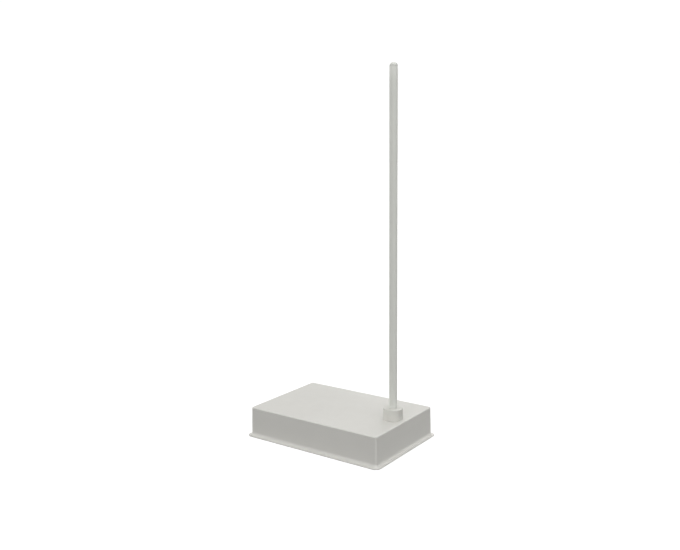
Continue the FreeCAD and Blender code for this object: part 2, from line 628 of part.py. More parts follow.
def collar():
    """The collar nut, and the captive ring inside it that pushes the collet down without turning."""
    clip_top = f"({THRUST_FOOT} - Size.seat_gap)"
    clip_r = f"({COLLAR_BORE_R} + 1.3)"
    body = turned_body("collar_nut", [
        (COLLAR_BORE_R, COLLAR_FOOT), ("Size.collar_diameter / 2", COLLAR_FOOT),
        ("Size.collar_diameter / 2", COLLAR_TOP), (f"{MAST_R} + Size.collar_bore_gap", COLLAR_TOP),
        (f"{MAST_R} + Size.collar_bore_gap", f"{THRUST_TOP} + Size.seat_gap"),
        (COLLAR_BORE_R, f"{THRUST_TOP} + Size.seat_gap"),
        (COLLAR_BORE_R, f"{clip_top} + 0.1"), (f"{clip_r} + 0.1", f"{clip_top} + 0.1"),
        (f"{clip_r} + 0.1", f"{clip_top} - Size.clip_thickness - 0.1"),
        (COLLAR_BORE_R, f"{clip_top} - Size.clip_thickness - 0.1"),
    ], MAST_X)
    document.recompute()
    outer_r = value("Size.collar_diameter / 2")

    def rim(edge):
        return abs(edge.BoundBox.YMax - outer_r) < 0.01 and abs(edge.BoundBox.ZLength) < 0.01

    fillet(body, "collar_rims", body.Tip, "Size.collar_edge", rim)
    node("collar_nut", body)
    node("thrust_ring", tube("thrust_ring", f"{THREAD_R} - 0.2", f"{MAST_R} + Size.collar_bore_gap",
                             "Size.thrust_thickness", MAST_X, "0", THRUST_FOOT))
    ring = tube("clip_ring", clip_r, f"{clip_r} - Size.clip_width", "Size.clip_thickness")
    gap = block("clip_gap", "Size.clip_width + 2", "6", "Size.clip_thickness",
                x=f"-({clip_r} - Size.clip_width / 2)")
    clip = cut("ring_clip", ring, gap)
    node("ring_clip", place(clip, MAST_X, "0", f"{clip_top} - Size.clip_thickness"))


# ---- Mast ----

def mast_tube():
    body = turned_body("mast_tube", [
        (TUBE_BORE_R, TUBE_FOOT), (MAST_R, TUBE_FOOT), (MAST_R, TUBE_TOP), (TUBE_BORE_R, TUBE_TOP),
    ], MAST_X)
    return node("mast_tube", body)


def mast_cap():
    dome = primitive("Sphere", "cap_dome", z=TUBE_TOP, Radius=MAST_R)
    dome.Angle1 = 0
    spigot = cylinder("cap_spigot", f"{TUBE_BORE_R} - Size.hole_clearance", "15",
                      z=f"{TUBE_TOP} - 15")
    return node("mast_cap", place(fuse("mast_cap", dome, spigot), MAST_X))


def mast_ferrule():
    """The metal foot of the mast, with a keyway and a pocket for the plug."""
    plug_r = "(Size.plug_diameter / 2 + Size.running_fit)"
    spigot_top = f"({TUBE_FOOT} + Size.spigot_length)"
    spigot_r = f"({TUBE_BORE_R} - Size.running_fit)"
    pocket_top = f"({FERRULE_FOOT} + Size.plug_height + Size.seat_gap)"
    body = turned_body("mast_ferrule", [
        (plug_r, FERRULE_FOOT), (MAST_R, FERRULE_FOOT), (MAST_R, TUBE_FOOT), (spigot_r, TUBE_FOOT),
        (spigot_r, spigot_top), ("4", spigot_top), ("4", pocket_top), (plug_r, pocket_top),
    ], MAST_X)
    keyway = draw_rectangle(new_sketch(body, "keyway_outline", level=FERRULE_FOOT),
                            "Size.key_depth + 2", "Size.key_width + 0.4",
                            f"{MAST_R} + 1 - (Size.key_depth + 0.2) / 2")
    pocket_up(body, "keyway", keyway, "Size.key_height + 1")
    return node("mast_ferrule", body)


def pin_places():
    angles = [math.radians(45 + 90 * turn) for turn in range(4)]
    return [(f"Size.pin_circle / 2 * {math.cos(a):.6f}", f"Size.pin_circle / 2 * {math.sin(a):.6f}")
            for a in angles]


def contacts():
    """The plug in the ferrule, the jack in the socket, and the pins that join them."""
    plug_foot = f"({FERRULE_FOOT} + Size.seat_gap)"
    plug = turned_body("mast_plug", [
        ("0", plug_foot), ("Size.plug_diameter / 2", plug_foot),
        ("Size.plug_diameter / 2", f"{plug_foot} + Size.plug_height - Size.seat_gap"),
        ("0", f"{plug_foot} + Size.plug_height - Size.seat_gap"),
    ], MAST_X)
    drill(plug, "pin_holes", "Size.pin_diameter / 2 + 0.02", pin_places(), plug_foot,
          "Size.plug_height - 2")
    node("mast_plug", plug)
    jack_foot = f"({PLATE_TOP} + Size.seat_gap)"
    jack = turned_body("aerial_jack", [
        ("0", jack_foot), (JACK_R, jack_foot), (JACK_R, JACK_TOP), ("0", JACK_TOP),
    ], MAST_X)
    sleeve_r = "(Size.pin_diameter / 2 + Size.pin_fit + Size.contact_wall)"
    sleeve_foot = f"({JACK_TOP} - Size.pin_length)"
    drill(jack, "contact_holes", f"{sleeve_r} + 0.02", pin_places(), sleeve_foot, "Size.pin_length")
    node("aerial_jack", jack)
    pins, sleeves = [], []
    for number, (x, y) in enumerate(pin_places(), start=1):
        at = f"{MAST_X} + {x}", y
        pins.append(cylinder(f"pin_{number}", "Size.pin_diameter / 2", "Size.pin_length + 4", *at,
                             f"{sleeve_foot} + 2"))
        sleeves.append(tube(f"sleeve_{number}", sleeve_r, f"{sleeve_r} - Size.contact_wall",
                            "Size.pin_length - 0.5", *at, sleeve_foot))
    node("plug_pins", group("plug_pins", pins))
    node("jack_contacts", group("jack_contacts", sleeves))


def aerial():
    """Ferrite rods and their coils in a channel that fills the mast."""
    carrier_foot = f"({TUBE_FOOT} + Size.spigot_length + 3)"
    cap_foot = f"({TUBE_TOP} - 15)"
    carrier_top = f"({cap_foot} - Size.buffer_height - Size.seat_gap)"
    coil_r = "(Size.rod_diameter / 2 + Size.running_fit + Size.coil_wall)"
    carrier_r = f"({TUBE_BORE_R} - Size.carrier_gap)"
    channel = f"{coil_r} + Size.seat_gap"
    rod = cylinder("carrier_rod", carrier_r, f"{carrier_top} - {carrier_foot}", z=carrier_foot)
    length = f"{carrier_top} - {carrier_foot}"
    trough = cylinder("carrier_trough", channel, length, z=carrier_foot)
    slot = block("carrier_slot", f"2 * ({channel})", carrier_r, length, y=f"{carrier_r} / 2",
                 z=carrier_foot)
    hollow = fuse("carrier_hollow", trough, slot)
    node("core_carrier", place(cut("core_carrier", rod, hollow), MAST_X))
    first_rod = f"({carrier_foot} + 14)"
    rods, coils = [], []
    for number in range(int(value("Size.rod_count"))):
        rod_foot = f"({first_rod} + {number} * Size.rod_spacing)"
        rods.append(cylinder(f"rod_{number + 1}", "Size.rod_diameter / 2", "Size.rod_length",
                             MAST_X, "0", rod_foot))
        for end, offset in (("lower", "20"), ("upper", "Size.rod_length - Size.coil_length - 20")):
            coils.append(tube(f"coil_{number + 1}_{end}", coil_r, f"{coil_r} - Size.coil_wall",
                              "Size.coil_length", MAST_X, "0", f"{rod_foot} + {offset}"))
    node("ferrite_rods", group("ferrite_rods", rods))
    node("aerial_coils", group("aerial_coils", coils))
    lead_foot = f"({FERRULE_FOOT} + Size.plug_height + Size.seat_gap)"
    node("mast_lead", cylinder("mast_lead", "Size.aerial_lead / 2",
                               f"{first_rod} - {lead_foot} - Size.seat_gap", MAST_X, "0", lead_foot))
    node("carrier_buffer", cylinder("carrier_buffer", f"{carrier_r} - 0.1",
                                    f"Size.buffer_height - Size.seat_gap", MAST_X, "0",
                                    f"{carrier_top} + Size.seat_gap"))


# ---- Electronics ----

def board():
    """The transceiver board on four standoffs, with its larger components."""
    sheet = block("board_sheet", "Size.board_length", "Size.board_width", "Size.board_thickness",
                  BOARD_X, "0", BOARD_LEVEL)
    holes = [cylinder(f"board_hole_{number}", "1.6", "Size.board_thickness", x, y, BOARD_LEVEL)
             for number, (x, y) in enumerate(BOARD_SCREWS)]
    node("main_board", cut("main_board", sheet, fuse("board_holes", *holes)))
    posts = []
    for number, (x, y) in enumerate(BOARD_SCREWS, start=1):
        blank = hexagon(f"standoff_{number}_blank", "7", "Size.standoff_height")
        bore = cylinder(f"standoff_{number}_bore", "1.55", "Size.standoff_height")
        posts.append(place(cut(f"standoff_{number}", blank, bore), x, y, PLATE_TOP))
    node("board_standoffs", group("board_standoffs", posts))
    screws("board_screws", "3", "8", BOARD_SCREWS, BOARD_TOP)
    node("board_chips", group("board_chips", [
        block("signal_chip", "22", "22", "2.5", f"{BOARD_X} - 20", "12", BOARD_TOP),
        block("memory_chip", "14", "9", "2", f"{BOARD_X} - 48", "20", BOARD_TOP),
        block("driver_chip", "16", "12", "3", f"{BOARD_X} + 14", "-30", BOARD_TOP),
    ]))
    node("board_capacitors", group("board_capacitors", [
        cylinder(f"capacitor_{step}", "6", "24", f"{BOARD_X} - 48 + {step} * 16", "-34", BOARD_TOP)
        for step in range(3)
    ]))
    node("board_inductors", group("board_inductors", [
        primitive("Torus", f"inductor_{step}", f"{BOARD_X} + 14 + {step} * 28", "32",
                  f"{BOARD_TOP} + 4.5", Radius1="8", Radius2="4.4") for step in range(2)
    ]))
    node("board_connectors", group("board_connectors", [
        block("aerial_connector", "14", "12", "10", AERIAL_PORT_X, "0", BOARD_TOP),
        block("supply_connector", "14", "12", "10", AERIAL_PORT_X, "-40", BOARD_TOP),
        block("sounder_connector", "12", "12", "10", BOARD_X, "Size.board_width / 2 - 5", BOARD_TOP),
    ]))


AERIAL_PORT_X = f"({BOARD_X} + Size.board_length / 2 - 6)"


def heat_sink():
    body = new_body("board_heat_sink", f"{BOARD_X} + 14", "14", BOARD_TOP)
    base_height, fin_height, fin_step, fin_half = 3, 18, 6, 1
    outline = [("-19", "0"), ("19", "0")]
    for number in (3, 2, 1, 0, -1, -2, -3):
        middle = number * fin_step
        outline += [(f"{middle + fin_half}", f"{base_height}"), (f"{middle + fin_half}", f"{fin_height}"),
                    (f"{middle - fin_half}", f"{fin_height}"), (f"{middle - fin_half}", f"{base_height}")]
    outline[2] = ("19", f"{base_height}")
    outline[-1] = ("-19", f"{base_height}")
    sketch = draw_outline(new_sketch(body, "fin_outline", "XZ_Plane"), outline)
    pad(body, "fins", sketch, "16")
    return node("board_heat_sink", body)


def power_module():
    case = block("module_case", "Size.module_length", "Size.module_width", "Size.module_height",
                 MODULE_X, MODULE_Y, PLATE_TOP)
    holes = []
    for number, (x, y) in enumerate(MODULE_SCREWS):
        holes.append(cylinder(f"module_hole_{number}", "Size.screw_diameter / 2 + Size.hole_clearance",
                              "Size.module_height", x, y, PLATE_TOP))
        holes.append(cylinder(f"module_well_{number}", "Size.screw_diameter", "Size.module_height",
                              x, y, f"{PLATE_TOP} + 6"))
    node("power_module", cut("power_module", case, fuse("module_holes", *holes)))
    screws("module_screws", "Size.screw_diameter", "9", MODULE_SCREWS, f"{PLATE_TOP} + 6")


def cable_entry():
    """The mains terminals, and the rubber grommet in the hole that a floor cable comes up through."""
    blank = block("terminal_blank", "Size.terminal_length", "Size.terminal_width",
                  "Size.terminal_height", TERMINAL_X, TERMINAL_Y, PLATE_TOP)
    wells, heads = [], []
    for step in (-1, 0, 1):
        x = f"{TERMINAL_X} + {step} * 13"
        wells.append(cylinder(f"terminal_well_{step + 2}", "3.2", "10", x, TERMINAL_Y,
                              f"{PLATE_TOP} + Size.terminal_height - 8"))
        heads.append(socket_screw(f"terminal_screw_{step + 2}", "3", "0.5", x, TERMINAL_Y,
                                  f"{PLATE_TOP} + Size.terminal_height - 7.5"))
    node("terminal_block", cut("terminal_block", blank, fuse("terminal_wells", *wells)))
    node("terminal_screws", group("terminal_screws", heads))
    rim_r = "(Size.entry_diameter / 2 + 3)"
    hole_r = "(Size.entry_diameter / 2 - Size.hole_clearance)"
    bore_r = "Size.grommet_bore / 2"
    low, high = f"({PLATE_BOTTOM} - 2)", f"({PLATE_TOP} + 2)"
    body = turned_body("cable_grommet", [
        (bore_r, low), (rim_r, low), (rim_r, PLATE_BOTTOM), (hole_r, PLATE_BOTTOM),
        (hole_r, PLATE_TOP), (rim_r, PLATE_TOP), (rim_r, high), (bore_r, high),
    ], ENTRY_X, ENTRY_Y)
    node("cable_grommet", body)


def alarm_sounder():
    drum = cylinder("sounder_drum", "Size.sounder_diameter / 2", "Size.sounder_height", BOARD_X,
                    SOUNDER_Y, PLATE_TOP)
    ears = block("sounder_ears", "Size.sounder_diameter + 24", "10", "3", BOARD_X, SOUNDER_Y, PLATE_TOP)
    holes = [cylinder(f"ear_hole_{number}", "Size.screw_diameter / 2 + Size.hole_clearance", "3", x, y,
                      PLATE_TOP) for number, (x, y) in enumerate(SOUNDER_SCREWS)]
    throat = cylinder("sounder_throat", "Size.sounder_diameter / 2 - 3", "8", BOARD_X, SOUNDER_Y,
                      PLATE_TOP)
    solid = cut("sounder_solid", fuse("sounder_blank", drum, ears), fuse("sounder_holes", *holes))
    node("alarm_sounder", cut("alarm_sounder", solid, throat))
    screws("sounder_screws", "Size.screw_diameter", "3 + Size.plate_thickness", SOUNDER_SCREWS,
           f"{PLATE_TOP} + 3")


def earth_stud():
    shank = cylinder("earth_shank", "Size.bolt_diameter / 2", "26", EARTH_X, SOUNDER_Y, PLATE_BOTTOM)
    nut = hexagon("earth_nut", "13", "6.5", EARTH_X, SOUNDER_Y, PLATE_TOP)
    node("earth_stud", fuse("earth_stud", shank, nut))


# ---- Leads inside the base ----

def lead(name, diameter, route):
    """A lead along straight runs that are joined by tangent arcs."""
    points = [Vector(*(value(part) for part in point)) for point in route]
    edges, start = [], points[0]
    for before, corner, after in zip(points, points[1:], points[2:]):
        back, ahead = (before - corner).normalize(), (after - corner).normalize()
        run = min((before - corner).Length, (after - corner).Length)
        half_turn = (math.pi - back.getAngle(ahead)) / 2
        setback = 0.45 * run
        radius = setback / math.tan(half_turn)
        inward = (back + ahead).normalize()
        middle = corner + inward * (radius / math.cos(half_turn) - radius)
        first, last = corner + back * setback, corner + ahead * setback
        edges += [Part.LineSegment(start, first).toShape(), Part.Arc(first, middle, last).toShape()]
        start = last
        print(f"{name}: bend of {radius:.0f} mm")
    edges.append(Part.LineSegment(start, points[-1]).toShape())
    spine = Part.Wire(edges)
    section = Part.Wire(Part.makeCircle(diameter / 2, points[0], points[1] - points[0]))
    solid = spine.makePipeShell([section], True, False)
    expected = math.pi * diameter ** 2 / 4 * spine.Length
    if abs(solid.Volume / expected - 1) > 0.01:
        raise ValueError(f"{name} has {solid.Volume:.0f} mm3 where {expected:.0f} is due")
    piece = document.addObject("Part::Feature", name)
    piece.Shape = solid
    return node(name, piece)


def leads():
    port = f"({BOARD_TOP} + 5)"
    connector_face = f"({AERIAL_PORT_X} + 7.2)"
    jack_side = f"({MAST_X} - {JACK_R} - 0.1)"
    board_edge = f"({BOARD_X} + Size.board_length / 2)"
    lead("aerial_cable", 5, [
        (jack_side, "0", f"{PLATE_TOP} + 4.5"),
        (f"{jack_side} - 38", "2", f"{PLATE_TOP} + 4.5"),
        (f"{jack_side} - 72", "-4", f"{PLATE_TOP} + 7"),
        (f"{board_edge} + 26", "3", f"{port} - 1"),
        (connector_face, "0", port),
    ])
    module_right = f"({MODULE_X} + Size.module_length / 2 + 0.2)"
    module_left = f"({MODULE_X} - Size.module_length / 2 - 0.2)"
    terminal_side = f"({TERMINAL_X} - Size.terminal_length / 2 - 0.2)"
    lead("supply_cable", 5, [
        (terminal_side, TERMINAL_Y, f"{PLATE_TOP} + 8"),
        (module_right, TERMINAL_Y, f"{PLATE_TOP} + 8"),
    ])
    lead("low_voltage_cable", 4, [
        (module_left, "-41.5", f"{port} - 1"),
        (f"{module_left} - 7", "-41.3", f"{port} - 1"),
        (f"{connector_face} + 7", "-40.2", f"{port} - 0.2"),
        (connector_face, "-40", port),
    ])
    sounder_side = f"({SOUNDER_Y} - Size.sounder_diameter / 2 - 0.2)"
    lead("sounder_cable", 3.5, [
        (BOARD_X, sounder_side, f"{port} - 2"),
        (f"{BOARD_X} + 0.6", f"{sounder_side} - 7", f"{port} - 1.8"),
        (f"{BOARD_X} - 0.4", f"Size.board_width / 2 + 9", f"{port} - 0.2"),
        (BOARD_X, f"Size.board_width / 2 + 1.2", port),
    ])


# ---- Whole pedestal ----

def check_document():
    """Stop if any object failed or any sub-part is not a valid shape."""
    document.recompute()
    failed = [item.Name for item in document.Objects if {"Invalid", "Error"} & set(item.State)]
    if failed:
        raise ValueError(f"failed objects: {failed}")
    for piece in nodes:
        if piece.Shape.isNull() or not piece.Shape.isValid() or not piece.Shape.Solids:
            raise ValueError(f"{piece.Label} has no valid shape")


def write_parts():
    os.makedirs("parts", exist_ok=True)
    for piece in nodes:
        piece.Shape.exportStep(f"parts/{piece.Label}.step")
        print(f"{piece.Label}: {len(piece.Shape.Solids)} solids, {piece.Shape.Volume / 1000:.1f} cm3")


def main():
    fill_size_sheet()
    base_cover()
    cover_catches()
    base_plate()
    screws("catch_screws", "Size.screw_diameter", "Size.catch_thickness + Size.plate_thickness",
           CATCH_SCREWS, f"{PLATE_TOP} + Size.catch_thickness")
    ballast()
    levelling_feet()
    mast_socket()
    screws("socket_bolts", "Size.bolt_diameter", "Size.socket_flange + Size.plate_thickness",
           SOCKET_BOLTS, f"{PLATE_TOP} + Size.socket_flange")
    neck_seal()
    mast_collet()
    collar()
    mast_tube()
    mast_cap()
    mast_ferrule()
    contacts()
    aerial()
    board()
    heat_sink()
    power_module()
    cable_entry()
    alarm_sounder()
    earth_stud()
    leads()
    check_document()
    write_parts()


main()
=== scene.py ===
"""Looks of the security gate pedestal: cover, mast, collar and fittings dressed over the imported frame."""
import json
import logging
import math
from dataclasses import dataclass, field
from enum import Enum

import bmesh
import bpy
from mathutils import Matrix, Vector


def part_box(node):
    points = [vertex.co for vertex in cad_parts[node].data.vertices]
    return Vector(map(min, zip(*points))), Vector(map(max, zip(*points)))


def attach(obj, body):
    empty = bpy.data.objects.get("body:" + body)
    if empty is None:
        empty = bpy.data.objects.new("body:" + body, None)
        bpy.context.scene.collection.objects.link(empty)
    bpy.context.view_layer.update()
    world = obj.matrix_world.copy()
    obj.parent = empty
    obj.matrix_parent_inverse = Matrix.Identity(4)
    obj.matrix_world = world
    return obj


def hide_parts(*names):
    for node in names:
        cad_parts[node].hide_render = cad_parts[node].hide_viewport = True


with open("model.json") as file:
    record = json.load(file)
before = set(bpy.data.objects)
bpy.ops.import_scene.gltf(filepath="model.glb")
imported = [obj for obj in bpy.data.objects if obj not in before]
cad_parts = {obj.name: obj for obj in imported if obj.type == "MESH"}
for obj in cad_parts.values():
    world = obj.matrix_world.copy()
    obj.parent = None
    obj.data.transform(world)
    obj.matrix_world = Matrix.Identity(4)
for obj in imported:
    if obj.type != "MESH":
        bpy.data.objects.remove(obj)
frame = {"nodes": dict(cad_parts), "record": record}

MM = 0.001
NOTHING = 1e-9
MERGE = 1e-7
NECK_SHOULDER = 4 * MM
CORNERS = ("front_left", "front_right", "back_left", "back_right")

logging.basicConfig(level=logging.INFO, format="%(message)s")
log = logging.getLogger("pedestal")

Point = tuple[float, float]
Colour = tuple[float, float, float]


# ---- Finishes ----

class Surface(Enum):
    """How a finish catches the light."""

    MOULDED = "moulded"
    METAL = "metal"
    CAST = "cast"
    GLASS_FIBRE = "glass_fibre"


@dataclass(frozen=True)
class Finish:
    """One material of the pedestal, with the sizes of its grain in metres.

    Attributes:
        name: material name.
        colour: linear base colour.
        surface: the family of detail that the finish gets.
        roughness: mean roughness.
        grain: size of the surface grain.
        relief: depth of the grain in the bump.
        mottle: share by which the colour wanders.
        wear: how much lighter the worn edges are, from 0 to 1.
        metallic: 1 for bare metal.
        coat: strength of a clear coat.
        specular: strength of the plain reflection, 0.5 on most plastics.
    """

    name: str
    colour: Colour
    surface: Surface = Surface.MOULDED
    roughness: float = 0.5
    grain: float = 0.8 * MM
    relief: float = 0.02 * MM
    mottle: float = 0.03
    wear: float = 0.1
    metallic: float = 0.0
    coat: float = 0.0
    specular: float = 0.5

    def material(self) -> bpy.types.Material:
        """Make the material once, and give the same one afterwards.

        Returns:
            The finish's Blender material.
        """
        made = bpy.data.materials.get(self.name)
        return made if made else FinishTree(self).build()


class FinishTree:
    """Builds the nodes of one finish on object coordinates.

    A range is where a noise turns from none to full, a squeeze draws a pattern out along the axes that
    it makes small, and a share is how much of a pattern is added. The mix values are the numbers of the
    colour sockets on the Mix node, which share their names with the plain ones.
    """

    mix_first, mix_second, mix_result = 6, 7, 2
    coat_roughness = 0.2
    drift = 120 * MM
    cloud = 35 * MM
    cloud_depth = 0.06
    speckle = 9 * MM
    speckle_range = (0.42, 0.6)
    edge_range = (0.52, 0.6)
    worn_lift = 0.35
    worn_metal = 0.8
    fine_share = 0.35
    fine_depth = 1.5
    scratch_along = 3 * MM
    along_squeeze = (0.04, 1, 1)
    along_range = (0.66, 0.72)
    scratch_across = 4 * MM
    across_squeeze = (1, 0.05, 0.6)
    across_range = (0.68, 0.74)
    scratch_dullness = 0.12
    scratch_depth = 0.5
    fibre_squeeze = (1, 1, 0.02)
    resin_size, resin_share = 0.6, 0.4
    brushed_squeeze = (1, 1, 0.08)
    lump_size, sand_share = 3, 0.5
    pebble_share, dust_size = 0.6, 0.7
    bump_strength = 0.6

    def __init__(self, finish: Finish) -> None:
        """Start an empty tree.

        Args:
            finish: the finish to build.
        """
        self.finish = finish
        self.material = bpy.data.materials.new(finish.name)
        self.material.use_nodes = True
        self.material.diffuse_color = (*finish.colour, 1.0)
        self.nodes = self.material.node_tree.nodes
        self.links = self.material.node_tree.links
        self.shader = self.nodes["Principled BSDF"]
        self.coordinates = self.nodes.new("ShaderNodeTexCoord").outputs["Object"]

    def build(self) -> bpy.types.Material:
        """Wire colour, roughness and bump.

        Returns:
            The finished material.
        """
        finish = self.finish
        self.shader.inputs["Metallic"].default_value = finish.metallic
        self.shader.inputs["Coat Weight"].default_value = finish.coat
        self.shader.inputs["Coat Roughness"].default_value = self.coat_roughness
        self.shader.inputs["Specular IOR Level"].default_value = finish.specular
        self.links.new(self.colour(), self.shader.inputs["Base Color"])
        self.links.new(self.roughness(), self.shader.inputs["Roughness"])
        self.links.new(self.bump(), self.shader.inputs["Normal"])
        return self.material

    def noise(self, size: float, detail: float = 2.0, stretch: Vector | None = None) -> bpy.types.NodeSocket:
        """A noise pattern of one feature size.

        Args:
            size: the size of its features, in metres.
            detail: octaves of finer detail.
            stretch: factors that squeeze the pattern along each axis.

        Returns:
            The pattern's factor, about 0.5 on average.
        """
        mapping = self.nodes.new("ShaderNodeMapping")
        mapping.inputs["Scale"].default_value = stretch or Vector((1, 1, 1))
        pattern = self.nodes.new("ShaderNodeTexNoise")
        pattern.inputs["Scale"].default_value = 1 / size
        pattern.inputs["Detail"].default_value = detail
        self.links.new(self.coordinates, mapping.inputs["Vector"])
        self.links.new(mapping.outputs["Vector"], pattern.inputs["Vector"])
        return pattern.outputs["Fac"]

    def remap(self, value: bpy.types.NodeSocket, low: float, high: float, start: float = 0.3,
              end: float = 0.7) -> bpy.types.NodeSocket:
        """Stretch a factor onto a new range.

        Args:
            value: the factor.
            low: result at start.
            high: result at end.
            start: factor that gives low.
            end: factor that gives high.

        Returns:
            The clamped result.
        """
        ramp = self.nodes.new("ShaderNodeMapRange")
        for name, number in (("From Min", start), ("From Max", end), ("To Min", low), ("To Max", high)):
            ramp.inputs[name].default_value = number
        self.links.new(value, ramp.inputs["Value"])
        return ramp.outputs["Result"]

    def math(self, operation: str, first: bpy.types.NodeSocket,
             second: bpy.types.NodeSocket | float) -> bpy.types.NodeSocket:
        """Combine two values.

        Args:
            operation: the Math node's operation.
            first: first value.
            second: second value, linked or plain.

        Returns:
            The result.
        """
        node = self.nodes.new("ShaderNodeMath")
        node.operation = operation
        self.links.new(first, node.inputs[0])
        if isinstance(second, (int, float)):
            node.inputs[1].default_value = second
        else:
            self.links.new(second, node.inputs[1])
        return node.outputs["Value"]

    def mix(self, factor: bpy.types.NodeSocket, first: bpy.types.NodeSocket | Colour,
            second: Colour) -> bpy.types.NodeSocket:
        """Mix towards a second colour.

        Args:
            factor: share of the second colour.
            first: first colour, linked or plain.
            second: second colour.

        Returns:
            The mixed colour.
        """
        node = self.nodes.new("ShaderNodeMix")
        node.data_type = "RGBA"
        self.links.new(factor, node.inputs["Factor"])
        if isinstance(first, tuple):
            node.inputs[self.mix_first].default_value = (*first, 1.0)
        else:
            self.links.new(first, node.inputs[self.mix_first])
        node.inputs[self.mix_second].default_value = (*second, 1.0)
        return node.outputs[self.mix_result]

    def edge_wear(self) -> bpy.types.NodeSocket:
        """A mask of rubbed edges, broken up by noise.

        Returns:
            1 on a worn edge and 0 elsewhere.
        """
        geometry = self.nodes.new("ShaderNodeNewGeometry")
        edges = self.remap(geometry.outputs["Pointiness"], 0, 1, *self.edge_range)
        broken = self.remap(self.noise(self.speckle, 4), 0, 1, *self.speckle_range)
        return self.math("MULTIPLY", edges, broken)

    def scratches(self) -> bpy.types.NodeSocket:
        """Sparse hairline scratches, along and across the base.

        Returns:
            1 in a scratch and 0 elsewhere.
        """
        along = self.noise(self.scratch_along, 3, Vector(self.along_squeeze))
        along = self.remap(along, 0, 1, *self.along_range)
        across = self.noise(self.scratch_across, 3, Vector(self.across_squeeze))
        across = self.remap(across, 0, 1, *self.across_range)
        return self.math("MAXIMUM", along, across)

    def colour(self) -> bpy.types.NodeSocket:
        """Base colour with slow drift, fine mottle and worn edges.

        Returns:
            The colour.
        """
        base = self.finish.colour
        mottle = self.finish.mottle
        dark = tuple(part * (1 - mottle) for part in base)
        light = tuple(min(1.0, part * (1 + mottle)) for part in base)
        slow = self.remap(self.noise(self.drift), 0, 1)
        tone = self.mix(slow, dark, light)
        fine = self.math("MULTIPLY", self.remap(self.noise(self.finish.grain, 3), 0, 1), self.fine_share)
        tone = self.mix(fine, tone, tuple(part * (1 - self.fine_depth * mottle) for part in base))
        worn = tuple(part + (1 - part) * self.worn_lift for part in base)
        if self.finish.surface is Surface.METAL:
            worn = tuple(part * self.worn_metal for part in base)
        return self.mix(self.math("MULTIPLY", self.edge_wear(), self.finish.wear), tone, worn)

    def roughness(self) -> bpy.types.NodeSocket:
        """Roughness that drifts, and rises along scratches.

        Returns:
            The roughness.
        """
        mean = self.finish.roughness
        cloudy = self.remap(self.noise(self.cloud, 4), mean - self.cloud_depth, mean + self.cloud_depth)
        return self.math("ADD", cloudy, self.math("MULTIPLY", self.scratches(), self.scratch_dullness))

    def height(self) -> bpy.types.NodeSocket:
        """The relief of the finish's own family.

        Returns:
            The height, from about 0 to 1.
        """
        grain = self.finish.grain
        kind = self.finish.surface
        if kind is Surface.GLASS_FIBRE:
            fibres = self.noise(grain, 3, Vector(self.fibre_squeeze))
            resin = self.math("MULTIPLY", self.noise(grain * self.resin_size), self.resin_share)
            return self.math("ADD", fibres, resin)
        if kind is Surface.METAL:
            return self.noise(grain, 4, Vector(self.brushed_squeeze))
        if kind is Surface.CAST:
            lumps = self.noise(grain * self.lump_size, 5)
            return self.math("ADD", lumps, self.math("MULTIPLY", self.noise(grain, 3), self.sand_share))
        pebbles = self.nodes.new("ShaderNodeTexVoronoi")
        pebbles.inputs["Scale"].default_value = 1 / grain
        self.links.new(self.coordinates, pebbles.inputs["Vector"])
        dust = self.noise(grain * self.dust_size, 3)
        return self.math("ADD", self.math("MULTIPLY", pebbles.outputs["Distance"], self.pebble_share), dust)

    def bump(self) -> bpy.types.NodeSocket:
        """Grain and scratches as a bump of real depth.

        Returns:
            The bent normal.
        """
        scratched = self.math("SUBTRACT", self.height(),
                              self.math("MULTIPLY", self.scratches(), self.scratch_depth))
        node = self.nodes.new("ShaderNodeBump")
        node.inputs["Strength"].default_value = self.bump_strength
        node.inputs["Distance"].default_value = self.finish.relief
        self.links.new(scratched, node.inputs["Height"])
        return node.outputs["Normal"]


SLOTS = {entry["node"]: entry["material_slot"] for entry in frame["record"]["subparts"]}
WARM_GREY = (0.592, 0.585, 0.553)

